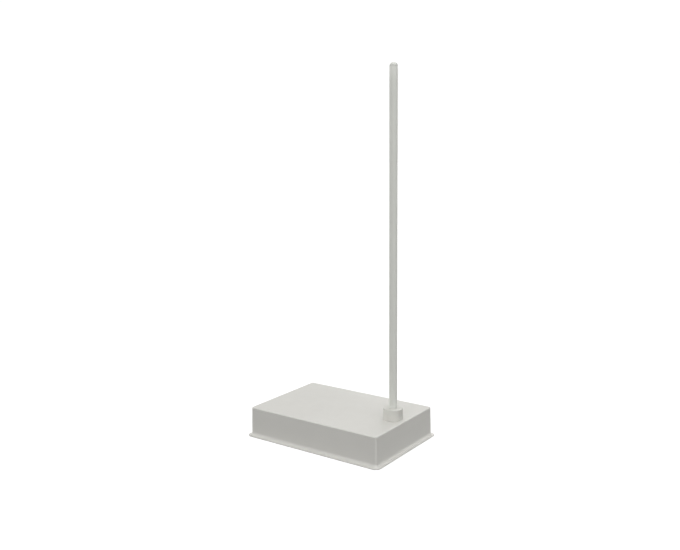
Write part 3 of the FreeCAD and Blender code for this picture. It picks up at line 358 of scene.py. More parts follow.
FINISHES = {
    "cover_moulding": Finish("cover_plastic", WARM_GREY, roughness=0.52, grain=0.7 * MM,
                             relief=0.05 * MM, mottle=0.012, specular=0.4),
    "mast_finish": Finish("mast_glass_fibre", (0.648, 0.656, 0.614), Surface.GLASS_FIBRE, roughness=0.5,
                          grain=0.5 * MM, relief=0.03 * MM, mottle=0.012, specular=0.3),
    "collar_finish": Finish("collar_nylon", (0.59, 0.585, 0.548), roughness=0.52, grain=0.5 * MM,
                            relief=0.04 * MM, mottle=0.012, specular=0.3),
    "zinc_steel": Finish("zinc_steel", (0.42, 0.42, 0.405), Surface.METAL, roughness=0.38,
                         grain=1.2 * MM, mottle=0.08, wear=0.6, metallic=1.0),
    "cast_ballast": Finish("painted_cast_iron", (0.035, 0.036, 0.04), Surface.CAST, roughness=0.55,
                           grain=1.0 * MM, relief=0.15 * MM, mottle=0.15, wear=0.5),
    "cast_aluminium": Finish("cast_aluminium", (0.32, 0.32, 0.33), Surface.CAST, roughness=0.6,
                             grain=0.5 * MM, relief=0.03 * MM, mottle=0.06, wear=0.4, metallic=1.0),
    "brass": Finish("turned_brass", (0.62, 0.44, 0.17), Surface.METAL, roughness=0.28, grain=0.4 * MM,
                    mottle=0.06, wear=0.4, metallic=1.0),
    "spring_steel": Finish("black_spring_steel", (0.07, 0.07, 0.075), Surface.METAL, roughness=0.4,
                           grain=0.5 * MM, mottle=0.1, wear=0.5, metallic=0.9),
    "rubber": Finish("black_rubber", (0.022, 0.022, 0.023), roughness=0.78,
                     grain=0.5 * MM, relief=0.03 * MM, mottle=0.15, wear=0.15),
    "natural_nylon": Finish("natural_nylon", (0.66, 0.63, 0.52), roughness=0.42, grain=0.6 * MM),
    "black_plastic": Finish("black_plastic", (0.02, 0.02, 0.022), roughness=0.45, grain=0.5 * MM,
                            mottle=0.12, wear=0.2),
    "circuit_board": Finish("solder_mask", (0.012, 0.11, 0.04), roughness=0.3,
                            grain=1.6 * MM, mottle=0.2, wear=0.0, coat=0.5),
    "capacitor_sleeve": Finish("capacitor_sleeve", (0.012, 0.02, 0.08), roughness=0.3, mottle=0.1),
    "ferrite": Finish("sintered_ferrite", (0.03, 0.03, 0.033), Surface.CAST, roughness=0.6,
                      grain=0.4 * MM, relief=0.03 * MM, mottle=0.15),
    "copper_winding": Finish("enamelled_copper", (0.50, 0.19, 0.07), Surface.METAL, roughness=0.3,
                             grain=0.4 * MM, mottle=0.1, metallic=1.0, coat=0.4),
    "lead_jacket": Finish("lead_jacket", (0.03, 0.03, 0.033), roughness=0.5,
                          grain=0.6 * MM, mottle=0.1),
}


# ---- Mesh helpers ----

def rounded(corners: list[tuple[float, float, float]], steps: int = 6, closed: bool = True) -> list[Point]:
    """Round the corners of an outline with tangent arcs.

    Args:
        corners: x, y and radius of each corner; radius 0 keeps it sharp.
        steps: segments of each arc.
        closed: whether the outline returns to its start.

    Returns:
        The points of the rounded outline.
    """
    points: list[Point] = []
    count = len(corners)
    for index, (x, y, radius) in enumerate(corners):
        here = Vector((x, y))
        if radius <= 0 or (not closed and index in (0, count - 1)):
            points.append((x, y))
            continue
        back = (Vector(corners[index - 1][:2]) - here).normalized()
        ahead = (Vector(corners[(index + 1) % count][:2]) - here).normalized()
        half = back.angle(ahead) / 2
        setback = radius / math.tan(half)
        centre = here + (back + ahead).normalized() * (radius / math.sin(half))
        start = here + back * setback - centre
        end = here + ahead * setback - centre
        turn = start.angle_signed(end)
        for step in range(steps + 1):
            angle = -turn * step / steps
            spoke = Matrix.Rotation(angle, 2) @ start
            points.append(tuple(centre + spoke))
    return points


def new_object(name: str, mesh: bmesh.types.BMesh, finish: Finish,
               smooth_angle: float = 35) -> bpy.types.Object:
    """Turn a built mesh into a scene object with its finish.

    Args:
        name: object name.
        mesh: the built mesh, which is freed.
        finish: its material.
        smooth_angle: edges sharper than this stay crisp, in degrees.

    Returns:
        The object, at the origin.
    """
    bmesh.ops.remove_doubles(mesh, verts=mesh.verts, dist=MERGE)
    bmesh.ops.recalc_face_normals(mesh, faces=mesh.faces)
    for edge in mesh.edges:
        edge.smooth = len(edge.link_faces) == 2 and edge.calc_face_angle(0) < math.radians(smooth_angle)
    for face in mesh.faces:
        face.smooth = True
    data = bpy.data.meshes.new(name)
    mesh.to_mesh(data)
    mesh.free()
    data.materials.append(finish.material())
    piece = bpy.data.objects.new(name, data)
    bpy.context.scene.collection.objects.link(piece)
    return piece


def add_circle(mesh: bmesh.types.BMesh, axis: Point, radius: float, level: float, segments: int) -> list:
    """Add a level ring of vertices, or one vertex where the radius is nothing.

    Args:
        mesh: the mesh that gets the vertices.
        axis: the ring's middle in plan.
        radius: its radius.
        level: its height.
        segments: how many vertices it has.

    Returns:
        The vertices, anticlockwise from above.
    """
    if radius < NOTHING:
        return [mesh.verts.new((*axis, level))]
    angles = [math.tau * step / segments for step in range(segments)]
    return [mesh.verts.new((axis[0] + radius * math.cos(angle), axis[1] + radius * math.sin(angle), level))
            for angle in angles]


def add_lathe(mesh: bmesh.types.BMesh, outline: list[Point], axis: Point, segments: int = 96,
              closed: bool = True) -> None:
    """Turn an outline of (radius, level) points about an upright axis.

    Args:
        mesh: the mesh that gets the surface.
        outline: the points; an open one starts and ends on the axis.
        axis: the axis's place in plan.
        segments: steps round the axis.
        closed: whether the outline is a closed ring.
    """
    rings = [add_circle(mesh, axis, radius, level, segments) for radius, level in outline]
    pairs = list(zip(rings, rings[1:]))
    if closed:
        pairs.append((rings[-1], rings[0]))
    for lower, upper in pairs:
        add_band(mesh, lower, upper)


def add_band(mesh: bmesh.types.BMesh, lower: list, upper: list) -> None:
    """Join two closed rings of vertices, either of which may be one point.

    Args:
        mesh: the mesh that gets the faces.
        lower: first ring.
        upper: second ring.
    """
    count = max(len(lower), len(upper))
    for step in range(count):
        after = (step + 1) % count
        corners = [lower[step % len(lower)], lower[after % len(lower)],
                   upper[after % len(upper)], upper[step % len(upper)]]
        unique = list(dict.fromkeys(corners))
        if len(unique) > 2:
            mesh.faces.new(unique)


def dress(piece: bpy.types.Object, body: str, slot: str, *nodes: str) -> bpy.types.Object:
    """Hand a finished piece to the frame.

    Args:
        piece: the piece.
        body: the body that it rides on.
        slot: its material slot in the record; not used.
        nodes: the nodes that it stands for.

    Returns:
        The same piece.
    """
    if nodes:
        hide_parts(*nodes)
    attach(piece, body)
    log.info("%s rides on %s with %d faces", piece.name, body, len(piece.data.polygons))
    return piece


def axis_of(node: str) -> Point:
    """The middle of a node's box in plan."""
    low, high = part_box(node)
    return (low.x + high.x) / 2, (low.y + high.y) / 2


def radius_of(node: str) -> float:
    """Half the width of a round node's box."""
    low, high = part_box(node)
    return (high.x - low.x) / 2


def thread_crest() -> float:
    """The radius over the neck's thread, inside the shoulder that the seal lies on."""
    return radius_of("neck_seal") - NECK_SHOULDER


# ---- Geometry Nodes for what repeats ----

class NodeTool:
    """A Geometry Nodes tree, built once in code and run to a plain mesh."""

    name = "node_tool"

    def __init__(self) -> None:
        """Build the tree between its named inputs and its one output."""
        self.tree = bpy.data.node_groups.new(self.name, "GeometryNodeTree")
        self.tree.is_modifier = True
        self.tree.interface.new_socket("Geometry", in_out="OUTPUT", socket_type="NodeSocketGeometry")
        self.inputs = self.tree.nodes.new("NodeGroupInput")
        made = self.shape()
        self.finish(made)

    def shape(self) -> bpy.types.NodeSocket:
        """Lay the tree's own nodes.

        Returns:
            The geometry before its finish.
        """
        raise NotImplementedError

    def wanted(self, name: str, kind: str = "Float") -> bpy.types.NodeSocket:
        """Add a named input to the tree.

        Args:
            name: the input's name.
            kind: its socket type, such as Float, Int, Vector or Material.

        Returns:
            The socket that carries it.
        """
        self.tree.interface.new_socket(name, in_out="INPUT", socket_type=f"NodeSocket{kind}")
        return self.inputs.outputs[name]

    def node(self, kind: str, links: dict[str | int, bpy.types.NodeSocket] | None = None,
             **settings: object) -> bpy.types.Node:
        """Add a node.

        Args:
            kind: the node's type, without its first word.
            links: what goes into its inputs.
            **settings: its own properties.

        Returns:
            The node.
        """
        node = self.tree.nodes.new(kind)
        for name, choice in settings.items():
            setattr(node, name, choice)
        for name, source in (links or {}).items():
            self.tree.links.new(source, node.inputs[name])
        return node

    def ratio(self, first: bpy.types.NodeSocket, second: bpy.types.NodeSocket) -> bpy.types.NodeSocket:
        """Divide one value by another."""
        return self.node("ShaderNodeMath", {0: first, 1: second}, operation="DIVIDE").outputs[0]

    def finish(self, made: bpy.types.NodeSocket) -> None:
        """End the tree in Realize Instances and Set Material.

        Args:
            made: the geometry.
        """
        real = self.node("GeometryNodeRealizeInstances", {"Geometry": made})
        coated = self.node("GeometryNodeSetMaterial",
                           {"Geometry": real.outputs[0], "Material": self.wanted("Finish", "Material")})
        end = self.tree.nodes.new("NodeGroupOutput")
        self.tree.links.new(coated.outputs[0], end.inputs[0])

    def run(self, name: str, finish: Finish, sizes: dict[str, object]) -> bpy.types.Object:
        """Run the tree and keep its result as a plain mesh.

        Args:
            name: name of the new object.
            finish: its material.
            sizes: a value for each of the tree's named inputs.

        Returns:
            The object, at the origin.
        """
        carrier = bpy.data.objects.new(name, bpy.data.meshes.new(name))
        bpy.context.scene.collection.objects.link(carrier)
        modifier = carrier.modifiers.new(self.name, "NODES")
        modifier.node_group = self.tree
        given = {**sizes, "Finish": finish.material()}
        for item in self.tree.interface.items_tree:
            if item.in_out == "INPUT":
                modifier[item.identifier] = given[item.name]
        graph = bpy.context.evaluated_depsgraph_get()
        mesh = bpy.data.meshes.new_from_object(carrier.evaluated_get(graph))
        carrier.modifiers.clear()
        bpy.data.objects.remove(carrier)
        plain = bmesh.new()
        plain.from_mesh(mesh)
        bpy.data.meshes.remove(mesh)
        return new_object(name, plain, finish)


class RankTree(NodeTool):
    """Equal blocks in a straight rank."""

    name = "block_rank"

    def shape(self) -> bpy.types.NodeSocket:
        """Points on a line, with a block on each.

        Returns:
            The rank.
        """
        line = self.node("GeometryNodeMeshLine", {
            "Count": self.wanted("Count", "Int"), "Start Location": self.wanted("Start", "Vector"),
            "Offset": self.wanted("Step", "Vector")}, mode="OFFSET")
        block = self.node("GeometryNodeMeshCube", {"Size": self.wanted("Block", "Vector")})
        placed = self.node("GeometryNodeInstanceOnPoints",
                           {"Points": line.outputs["Mesh"], "Instance": block.outputs["Mesh"]})
        return placed.outputs["Instances"]


class RoundelTree(NodeTool):
    """Equal blocks in a ring, each along its own spoke."""

    name = "block_ring"

    def shape(self) -> bpy.types.NodeSocket:
        """Points on a circle, with a block turned along the spoke at each.

        Returns:
            The ring.
        """
        count = self.wanted("Count", "Int")
        ring = self.node("GeometryNodeMeshCircle", {"Vertices": count, "Radius": self.wanted("Radius")})
        block = self.node("GeometryNodeMeshCube", {"Size": self.wanted("Block", "Vector")})
        index = self.node("GeometryNodeInputIndex").outputs[0]
        share = self.ratio(index, count)
        turn = self.node("ShaderNodeMath", {0: share}, operation="MULTIPLY")
        turn.inputs[1].default_value = math.tau
        spin = self.node("ShaderNodeCombineXYZ", {"Z": turn.outputs[0]})
        placed = self.node("GeometryNodeInstanceOnPoints", {
            "Points": ring.outputs["Mesh"], "Instance": block.outputs["Mesh"],
            "Rotation": spin.outputs[0]})
        moved = self.node("GeometryNodeTransform", {
            "Geometry": placed.outputs["Instances"], "Translation": self.wanted("Centre", "Vector")})
        return moved.outputs[0]


class HelixTree(NodeTool):
    """A ridge or a wire wound round an upright axis."""

    name = "helix"

    def shape(self) -> bpy.types.NodeSocket:
        """A spiral swept with a small polygon: four sides make a thread, more make a wire.

        Returns:
            The swept helix.
        """
        height = self.wanted("Height")
        radius = self.wanted("Radius")
        spiral = self.node("GeometryNodeCurveSpiral", {
            "Resolution": self.wanted("Steps", "Int"), "Rotations": self.ratio(height, self.wanted("Pitch")),
            "Start Radius": radius, "End Radius": radius, "Height": height})
        upright = self.node("GeometryNodeSetCurveNormal", {"Curve": spiral.outputs[0]}, mode="Z_UP")
        section = self.node("GeometryNodeCurvePrimitiveCircle", {
            "Resolution": self.wanted("Sides", "Int"), "Radius": self.wanted("Depth")}, mode="RADIUS")
        swept = self.node("GeometryNodeCurveToMesh", {
            "Curve": upright.outputs[0], "Profile Curve": section.outputs[0]})
        swept.inputs["Fill Caps"].default_value = True
        moved = self.node("GeometryNodeTransform", {
            "Geometry": swept.outputs[0], "Translation": self.wanted("Foot", "Vector")})
        return moved.outputs[0]


@dataclass(frozen=True)
class Thread:
    """A screw thread cut on a cylinder.

    Attributes:
        crest: radius over the thread.
        pitch: rise in one turn.
        steps: segments in one turn.
        share: depth of the groove in pitches.
        bite: how far the ridge stays under the crest.
        reach: how near a vertex lies to the cylinder that counts as on it.
        merge: how near two vertices of the CAD mesh lie that become one.
    """

    crest: float
    pitch: float
    steps: int
    share: float = 0.44
    bite: float = 0.02 * MM
    reach: float = 0.02 * MM
    merge: float = 0.001 * MM

    @property
    def depth(self) -> float:
        """How far the groove lies under the crest."""
        return self.share * self.pitch

    def cut(self, name: str, node: str, finish: Finish, axis: Point, low: float, high: float,
            helix: HelixTree) -> bpy.types.Object:
        """Copy a CAD node and cut the thread on its plain cylinder.

        Args:
            name: name of the new object.
            node: the CAD node.
            finish: its material.
            axis: the thread's axis in plan.
            low: where the cylinder starts.
            high: where it ends.
            helix: the tree that winds the ridge.

        Returns:
            The threaded piece.
        """
        root = self.crest - self.depth
        mesh = bmesh.new()
        mesh.from_mesh(frame["nodes"][node].data)
        bmesh.ops.remove_doubles(mesh, verts=mesh.verts, dist=self.merge)
        centre = Vector((*axis, 0))
        for vertex in mesh.verts:
            spoke = Vector((vertex.co.x, vertex.co.y, 0)) - centre
            near = abs(spoke.length - self.crest) < self.reach
            if near and low - self.reach / 2 < vertex.co.z < high + self.reach / 2:
                flat = centre + spoke * (root / self.crest)
                vertex.co.x, vertex.co.y = flat.x, flat.y
        ridge = helix.run(f"{name}_ridge", finish, {
            "Radius": root, "Depth": self.depth - self.bite, "Pitch": self.pitch,
            "Height": high - low - 2 * self.pitch, "Steps": self.steps, "Sides": 4,
            "Foot": Vector((*axis, low + self.pitch))})
        mesh.from_mesh(ridge.data)
        bpy.data.objects.remove(ridge)
        return new_object(name, mesh, finish)


# ---- Cover ----

@dataclass
class Cover:
    """The moulded cover: drafted walls, a rounded top, a cove and a thin flange, hollow underneath."""

    wall: float = 2.5 * MM
    draft: float = math.radians(1.4)
    corner: float = 9 * MM
    top_edge: float = 4 * MM
    flange_reach: float = 11 * MM
    flange_thickness: float = 2.5 * MM
    flange_edge: float = 0.2 * MM
    cove: float = 10.5 * MM
    underside: float = 4 * MM
    neck_gap: float = 0.3 * MM
    neck_edge: float = 0.3 * MM
    neck_steps: int = 72
    corner_steps: int = 14
    side_steps: int = 10
    least_bend: float = 0.2 * MM
    support: float = 0.6 * MM
    rib: float = 2 * MM
    rib_depth: float = 12 * MM
    rib_spacing: float = 84 * MM
    rib_inset: float = 26 * MM
    rib_root: float = 0.3 * MM
    cross_ribs: int = 4
    first_rib: int = -2
    lug: Vector = field(default_factory=lambda: Vector((8.5, 24, 5)) * MM)
    lug_spacing: float = 150 * MM
    lug_root: float = 1.5 * MM
    high: Vector = field(default_factory=lambda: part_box("base_cover")[1])

    def ring(self, mesh: bmesh.types.BMesh, reach: float, level: float) -> list:
        """One closed ring of vertices round the walls.

        Args:
            mesh: the mesh that gets the vertices.
            reach: how far the ring lies outside the walls' foot.
            level: its height.

        Returns:
            The vertices, anticlockwise from above.
        """
        half_x = self.high.x - self.flange_reach + reach
        half_y = self.high.y - self.flange_reach + reach
        bend = max(self.corner + reach, self.least_bend)
        points = []
        for number, (sx, sy) in enumerate(((1, -1), (1, 1), (-1, 1), (-1, -1))):
            centre = Vector((sx * (half_x - bend), sy * (half_y - bend)))
            start = math.pi * (number - 1) / 2
            for step in range(self.corner_steps + 1):
                angle = start + math.pi / 2 * step / self.corner_steps
                points.append(centre + bend * Vector((math.cos(angle), math.sin(angle))))
            run = 2 * (half_x - bend if number % 2 else half_y - bend)
            points.extend(self.side_points(points[-1], number, run))
        return [mesh.verts.new((point.x, point.y, level)) for point in points]

    def side_points(self, start: Vector, number: int, run: float) -> list[Vector]:
        """Points along a straight side, the first and last close to its corners.

        Args:
            start: the side's first point.
            number: which side, counted from the +X one.
            run: its length.

        Returns:
            The points between the side's ends.
        """
        turn = math.pi * (number + 1) / 2
        along = Vector((math.cos(turn), math.sin(turn)))
        shares = [self.support / run]
        shares += [step / self.side_steps for step in range(1, self.side_steps)]
        shares.append(1 - self.support / run)
        return [start + along * run * share for share in shares]

    def wall_reach(self, level: float) -> float:
        """How far the outer wall lies outside its own foot at a level."""
        return -level * math.tan(self.draft)

    def outer_section(self) -> list[Point]:
        """Outline from the flange's underside, out and up to the flat of the top.

        Returns:
            The (reach, level) points.
        """
        top = self.high.z
        outline = rounded([
            (self.flange_reach - self.underside, 0, 0),
            (self.flange_reach, 0, self.flange_edge),
            (self.flange_reach, self.flange_thickness, self.flange_edge),
            (self.wall_reach(self.flange_thickness), self.flange_thickness, self.cove),
            (self.wall_reach(top), top, self.top_edge),
            (self.wall_reach(top) - self.top_edge - self.support, top, 0),
        ], steps=10, closed=False)
        return self.with_supports(outline)

    def inner_section(self) -> list[Point]:
        """Outline from the flat of the ceiling down and out to the flange's underside.

        Returns:
            The (reach, level) points, up to the one that the outer outline starts with.
        """
        ceiling = self.high.z - self.wall
        inside = self.wall_reach(ceiling) - self.wall
        bend = self.top_edge - self.wall
        return rounded([
            (inside - bend - self.support, ceiling, 0),
            (inside, ceiling, bend),
            (-self.wall, 0, self.cove + self.wall),
            (self.flange_reach - self.underside, 0, 0),
        ], steps=8, closed=False)[:-1]

    def with_supports(self, outline: list[Point]) -> list[Point]:
        """Add points to the tall run of the wall, so that its shading stays flat.

        Args:
            outline: the outline.

        Returns:
            The outline with a point close to each end of its longest run, and one halfway.
        """
        longest = max(range(len(outline) - 1), key=lambda i: math.dist(outline[i], outline[i + 1]))
        start, end = Vector(outline[longest]), Vector(outline[longest + 1])
        step = (end - start).normalized() * self.support
        extra = [tuple(start + step), tuple(start.lerp(end, 0.5)), tuple(end - step)]
        return outline[:longest + 1] + extra + outline[longest + 1:]

    def flat_with_hole(self, mesh: bmesh.types.BMesh, ring: list, hole: list) -> None:
        """Fill the flat between a ring and the hole for the neck.

        Args:
            mesh: the mesh that gets the faces.
            ring: the vertices round the flat.
            hole: the vertices round the hole.
        """
        edges = []
        for loop in (ring, hole):
            for first, second in zip(loop, loop[1:] + loop[:1]):
                edges.append(mesh.edges.get((first, second)) or mesh.edges.new((first, second)))
        bmesh.ops.triangle_fill(mesh, edges=edges, use_beauty=True, use_dissolve=False)

    def build(self) -> None:
        """Build the cover and hand it to the frame."""
        mesh = bmesh.new()
        outer = [self.ring(mesh, *point) for point in self.outer_section()]
        inner = [self.ring(mesh, *point) for point in self.inner_section()]
        for lower, upper in zip(outer, outer[1:]):
            add_band(mesh, lower, upper)
        for upper, lower in zip(inner, inner[1:]):
            add_band(mesh, upper, lower)
        add_band(mesh, inner[-1], outer[0])
        holes = self.neck_hole(mesh)
        self.flat_with_hole(mesh, outer[-1], holes[0])
        self.flat_with_hole(mesh, inner[0], holes[-1])
        piece = new_object("cover_shell", mesh, FINISHES["cover_moulding"])
        dress(piece, "base", "cover_moulding", "base_cover")
        self.ribs()

    def neck_hole(self, mesh: bmesh.types.BMesh) -> list[list]:
        """Make the rim of the hole that the neck comes through.

        Args:
            mesh: the mesh that gets the rim.

        Returns:
            The rings of vertices, from the top face down to the ceiling.
        """
        axis = axis_of("mast_socket")
        radius = thread_crest() + self.neck_gap
        top = self.high.z
        rings = [add_circle(mesh, axis, radius + grow, level, self.neck_steps)
                 for grow, level in ((self.neck_edge, top), (0, top - self.neck_edge), (0, top - self.wall))]
        for upper, lower in zip(rings, rings[1:]):
            add_band(mesh, upper, lower)
        return rings

    def ribs(self) -> None:
        """Lay the thin ribs that stiffen the top, and the two lugs at the end wall."""
        plate_low, plate_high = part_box("base_plate")
        ceiling = self.high.z - self.wall
        level = ceiling - self.rib_depth / 2 + self.rib_root / 2
        height = self.rib_depth + self.rib_root
        side = plate_high.y - self.rib_inset
        left = plate_low.x + self.rib_inset
        right = (self.first_rib + self.cross_ribs - 0.5) * self.rib_spacing
        rank = RankTree()
        cross = rank.run("cover_cross_ribs", FINISHES["cover_moulding"], {
            "Count": self.cross_ribs, "Start": Vector((self.first_rib * self.rib_spacing, 0, level)),
            "Step": Vector((self.rib_spacing, 0, 0)), "Block": Vector((self.rib, 2 * side, height))})
        along = rank.run("cover_long_ribs", FINISHES["cover_moulding"], {
            "Count": 2, "Start": Vector(((left + right) / 2, -self.rib_spacing, level)),
            "Step": Vector((0, 2 * self.rib_spacing, 0)), "Block": Vector((right - left, self.rib, height))})
        lugs = rank.run("cover_lugs", FINISHES["cover_moulding"], {
            "Count": 2,
            "Start": Vector((plate_low.x + self.lug.x / 2 - self.lug_root, -self.lug_spacing / 2,
                             plate_high.z + self.lug.z / 2)),
            "Step": Vector((0, self.lug_spacing, 0)), "Block": self.lug})
        for piece in (cross, along, lugs):
            dress(piece, "base", "cover_moulding")


# ---- Mast and collar ----

@dataclass
class Mast:
    """The round mast: a glass-fibre tube and the domed cap pressed into its end."""

    cap: Finish = Finish("cap_plastic", (0.612, 0.62, 0.58), roughness=0.5, grain=0.5 * MM,
                         relief=0.03 * MM, mottle=0.012, specular=0.3)
    seam: float = 0.25 * MM
    wall: float = 2.5 * MM
    bands: int = 24
    spigot_gap: float = 0.1 * MM
    spigot_edge: float = 0.5 * MM
    dome_start: float = math.radians(1.5)
    dome_steps: int = 28
    segments: int = 96

    def build(self) -> None:
        """Build the tube and the cap."""
        axis = axis_of("mast_tube")
        low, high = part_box("mast_tube")
        radius = radius_of("mast_tube")
        bore = radius - self.wall
        mesh = bmesh.new()
        chamfer = 2 * self.seam
        span = high.z - low.z - 2 * chamfer
        levels = [low.z + chamfer + span * step / self.bands for step in range(self.bands + 1)]
        outline = [(bore, low.z), (radius - chamfer, low.z)]
        outline += [(radius, level) for level in levels]
        outline += [(radius - self.seam, high.z), (bore, high.z)]
        add_lathe(mesh, outline, axis, self.segments)
        dress(new_object("mast_pole", mesh, FINISHES["mast_finish"]), "mast", "mast_finish", "mast_tube")
        self.build_cap(axis, radius, bore, high.z)

    def build_cap(self, axis: Point, radius: float, bore: float, level: float) -> None:
        """Build the dome and the spigot under it.

        Args:
            axis: the mast's axis in plan.
            radius: the mast's radius.
            bore: the tube's inner radius.
            level: where the tube ends and the dome starts.
        """
        spigot = bore - self.spigot_gap
        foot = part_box("mast_cap")[0].z
        outline = [(0.0, foot), (spigot - self.spigot_edge, foot), (spigot, foot + self.spigot_edge),
                   (spigot, level), (radius - self.seam, level)]
        for step in range(self.dome_steps + 1):
            angle = self.dome_start + (math.pi / 2 - self.dome_start) * step / self.dome_steps
            across = radius * math.cos(angle) if step < self.dome_steps else 0.0
            outline.append((across, level + radius * math.sin(angle)))
        mesh = bmesh.new()
        add_lathe(mesh, outline, axis, self.segments, closed=False)
        dress(new_object("mast_dome", mesh, self.cap), "mast", "mast_finish", "mast_cap")


@dataclass
class Collar:
    """The collar nut that clamps the mast."""

    edge: float = 1.4 * MM
    foot_edge: float = 0.6 * MM
    bore_gap: float = 0.4 * MM
    bore_edge: float = 0.5 * MM
    thread_gap: float = 0.25 * MM
    shelf_gap: float = 0.3 * MM
    segments: int = 128

    def build(self) -> None:
        """Build the nut with its rounded rims, inner thread bore and ring groove."""
        axis = axis_of("collar_nut")
        low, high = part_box("collar_nut")
        radius = radius_of("collar_nut")
        bore = radius_of("thrust_ring") + self.thread_gap
        mast_bore = radius_of("mast_tube") + self.bore_gap
        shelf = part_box("thrust_ring")[1].z + self.shelf_gap
        outline = rounded([
            (bore, low.z, self.foot_edge), (radius, low.z, self.foot_edge), (radius, high.z, self.edge),
            (mast_bore, high.z, self.bore_edge), (mast_bore, shelf, 0), (bore, shelf, 0),
        ], steps=8)
        mesh = bmesh.new()
        add_lathe(mesh, outline, axis, self.segments)
        dress(new_object("collar_ring", mesh, FINISHES["collar_finish"]), "collar", "collar_finish",
              "collar_nut")


@dataclass
class Socket:
    """The cast socket under the collar, with the thread that the collar screws on."""

    pitch: float = 2 * MM
    steps: int = 72

    def build(self, helix: HelixTree) -> None:
        """Cut the neck's thread and hand the casting over.

        Args:
            helix: the tree that winds the ridge.
        """
        foot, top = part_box("neck_seal")[0].z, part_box("mast_socket")[1].z
        slot = SLOTS["mast_socket"]
        piece = Thread(thread_crest(), self.pitch, self.steps).cut(
            "socket_neck", "mast_socket", FINISHES[slot], axis_of("mast_socket"), foot, top, helix)
        dress(piece, "base", slot, "mast_socket")


@dataclass
class Aerial:
    """The copper windings on the ferrite rods inside the mast."""

    wire: float = 0.9 * MM
    steps: int = 28
    sides: int = 6
    smooth_angle: float = 60
    level_digits: int = 5

    def build(self, helix: HelixTree) -> None:
        """Wind each coil of the aerial as one layer of wire.

        Args:
            helix: the tree that winds the wire.
        """
        node = "aerial_coils"
        finish = FINISHES[SLOTS[node]]
        axis = axis_of(node)
        mesh = bmesh.new()
        for foot, top in self.coil_levels(frame["nodes"][node]):
            coil = helix.run("coil", finish, {
                "Radius": radius_of(node) - self.wire / 2, "Depth": self.wire / 2, "Pitch": self.wire,
                "Height": top - foot - self.wire, "Steps": self.steps, "Sides": self.sides,
                "Foot": Vector((*axis, foot + self.wire / 2))})
            mesh.from_mesh(coil.data)
            bpy.data.objects.remove(coil)
        dress(new_object("aerial_windings", mesh, finish, self.smooth_angle), "mast", SLOTS[node], node)

    def coil_levels(self, node: bpy.types.Object) -> list[Point]:
        """The foot and top of each coil of a node that holds several.

        Args:
            node: the CAD node.

        Returns:
            A pair of levels for each coil, from the lowest up.
        """
        heights = sorted({round(vertex.co.z, self.level_digits) for vertex in node.data.vertices})
        return list(zip(heights[::2], heights[1::2]))


@dataclass
class LevellingFoot:
    """A rubber-soled foot on the ball of a threaded stud."""

    corner: str
    pitch: float = 1.5 * MM
    rim: float = 4 * MM
    edge: float = 1.2 * MM
    sole: float = 0.9 * MM
    border: float = 3.5 * MM
    ball: float = 4.08 * MM
    ball_level: float = 6 * MM
    mouth: float = 3.1 * MM
    crown: float = 11 * MM
    shoulder: float = 1.4 * MM
    fillet: float = 0.3 * MM
    shoulder_fillet: float = 0.2 * MM
    ball_steps: int = 12
    segments: int = 64
    treads: int = 18
    tread: float = 1.2 * MM
    tread_lift: float = 0.01 * MM
    thread_gap: float = 0.3 * MM
    thread_steps: int = 24

    def build(self, helix: HelixTree, ring: RoundelTree) -> None:
        """Build the pad with its tread, and the stud with its thread.

        Args:
            helix: the tree that winds the thread.
            ring: the tree that lays the tread.
        """
        self.pad(ring)
        self.stud(helix)

    def pad(self, ring: RoundelTree) -> None:
        """Build the pad: a turned body with a sunk sole and radial treads.

        Args:
            ring: the tree that lays the tread.
        """
        node = f"foot_pad_{self.corner}"
        slot = SLOTS[node]
        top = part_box(node)[1].z
        axis = axis_of(node)
        radius = radius_of(node)
        sink = math.asin(self.mouth / self.ball)
        outline = rounded([
            (0.0, self.sole, 0), (radius - self.border, self.sole, self.fillet),
            (radius - self.border + self.sole / 2, 0.0, self.fillet), (radius, 0.0, self.edge / 2),
            (radius, self.rim, self.edge), (radius - self.shoulder, self.rim, self.shoulder_fillet),
            (self.crown, top, self.edge / 2), (self.mouth, top, self.fillet),
            (self.mouth, self.ball_level + self.ball * math.cos(sink), 0),
        ], steps=4, closed=False)
        for step in range(1, self.ball_steps + 1):
            angle = sink + (math.pi - sink) * step / self.ball_steps
            across = self.ball * math.sin(angle) if step < self.ball_steps else 0.0
            outline.append((across, self.ball_level + self.ball * math.cos(angle)))
        mesh = bmesh.new()
        add_lathe(mesh, outline, axis, self.segments, closed=False)
        inner, outer = self.crown / 2, radius - self.border
        treads = ring.run("treads", FINISHES[slot], {
            "Count": self.treads, "Radius": (inner + outer) / 2,
            "Block": Vector((outer - inner, self.tread, self.sole)),
            "Centre": Vector((*axis, self.sole / 2 + self.tread_lift))})
        mesh.from_mesh(treads.data)
        bpy.data.objects.remove(treads)
        piece = new_object(f"sole_{self.corner}", mesh, FINISHES[slot])
        dress(piece, f"foot_{self.corner}", slot, node)

    def stud(self, helix: HelixTree) -> None:
        """Build the stud with its thread.

        Args:
            helix: the tree that winds the thread.
        """
        node = f"foot_stud_{self.corner}"
        slot = SLOTS[node]
        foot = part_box(f"foot_pad_{self.corner}")[1].z + self.thread_gap
        piece = Thread(radius_of(node), self.pitch, self.thread_steps).cut(
            f"stud_{self.corner}", node, FINISHES[slot], axis_of(node), foot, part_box(node)[1].z, helix)
        dress(piece, f"stud_{self.corner}", slot, node)


# ---- Frame pieces that keep their shape ----

def finish_frame_nodes() -> None:
    """Give every node that still shows the finish of its slot."""
    for name, node in frame["nodes"].items():
        if node.hide_render:
            continue
        material = FINISHES[SLOTS[name]].material()
        if not node.material_slots:
            node.data.materials.append(material)
        for slot in node.material_slots:
            slot.material = material
    log.info("frame nodes finished")


# ---- Studio ----

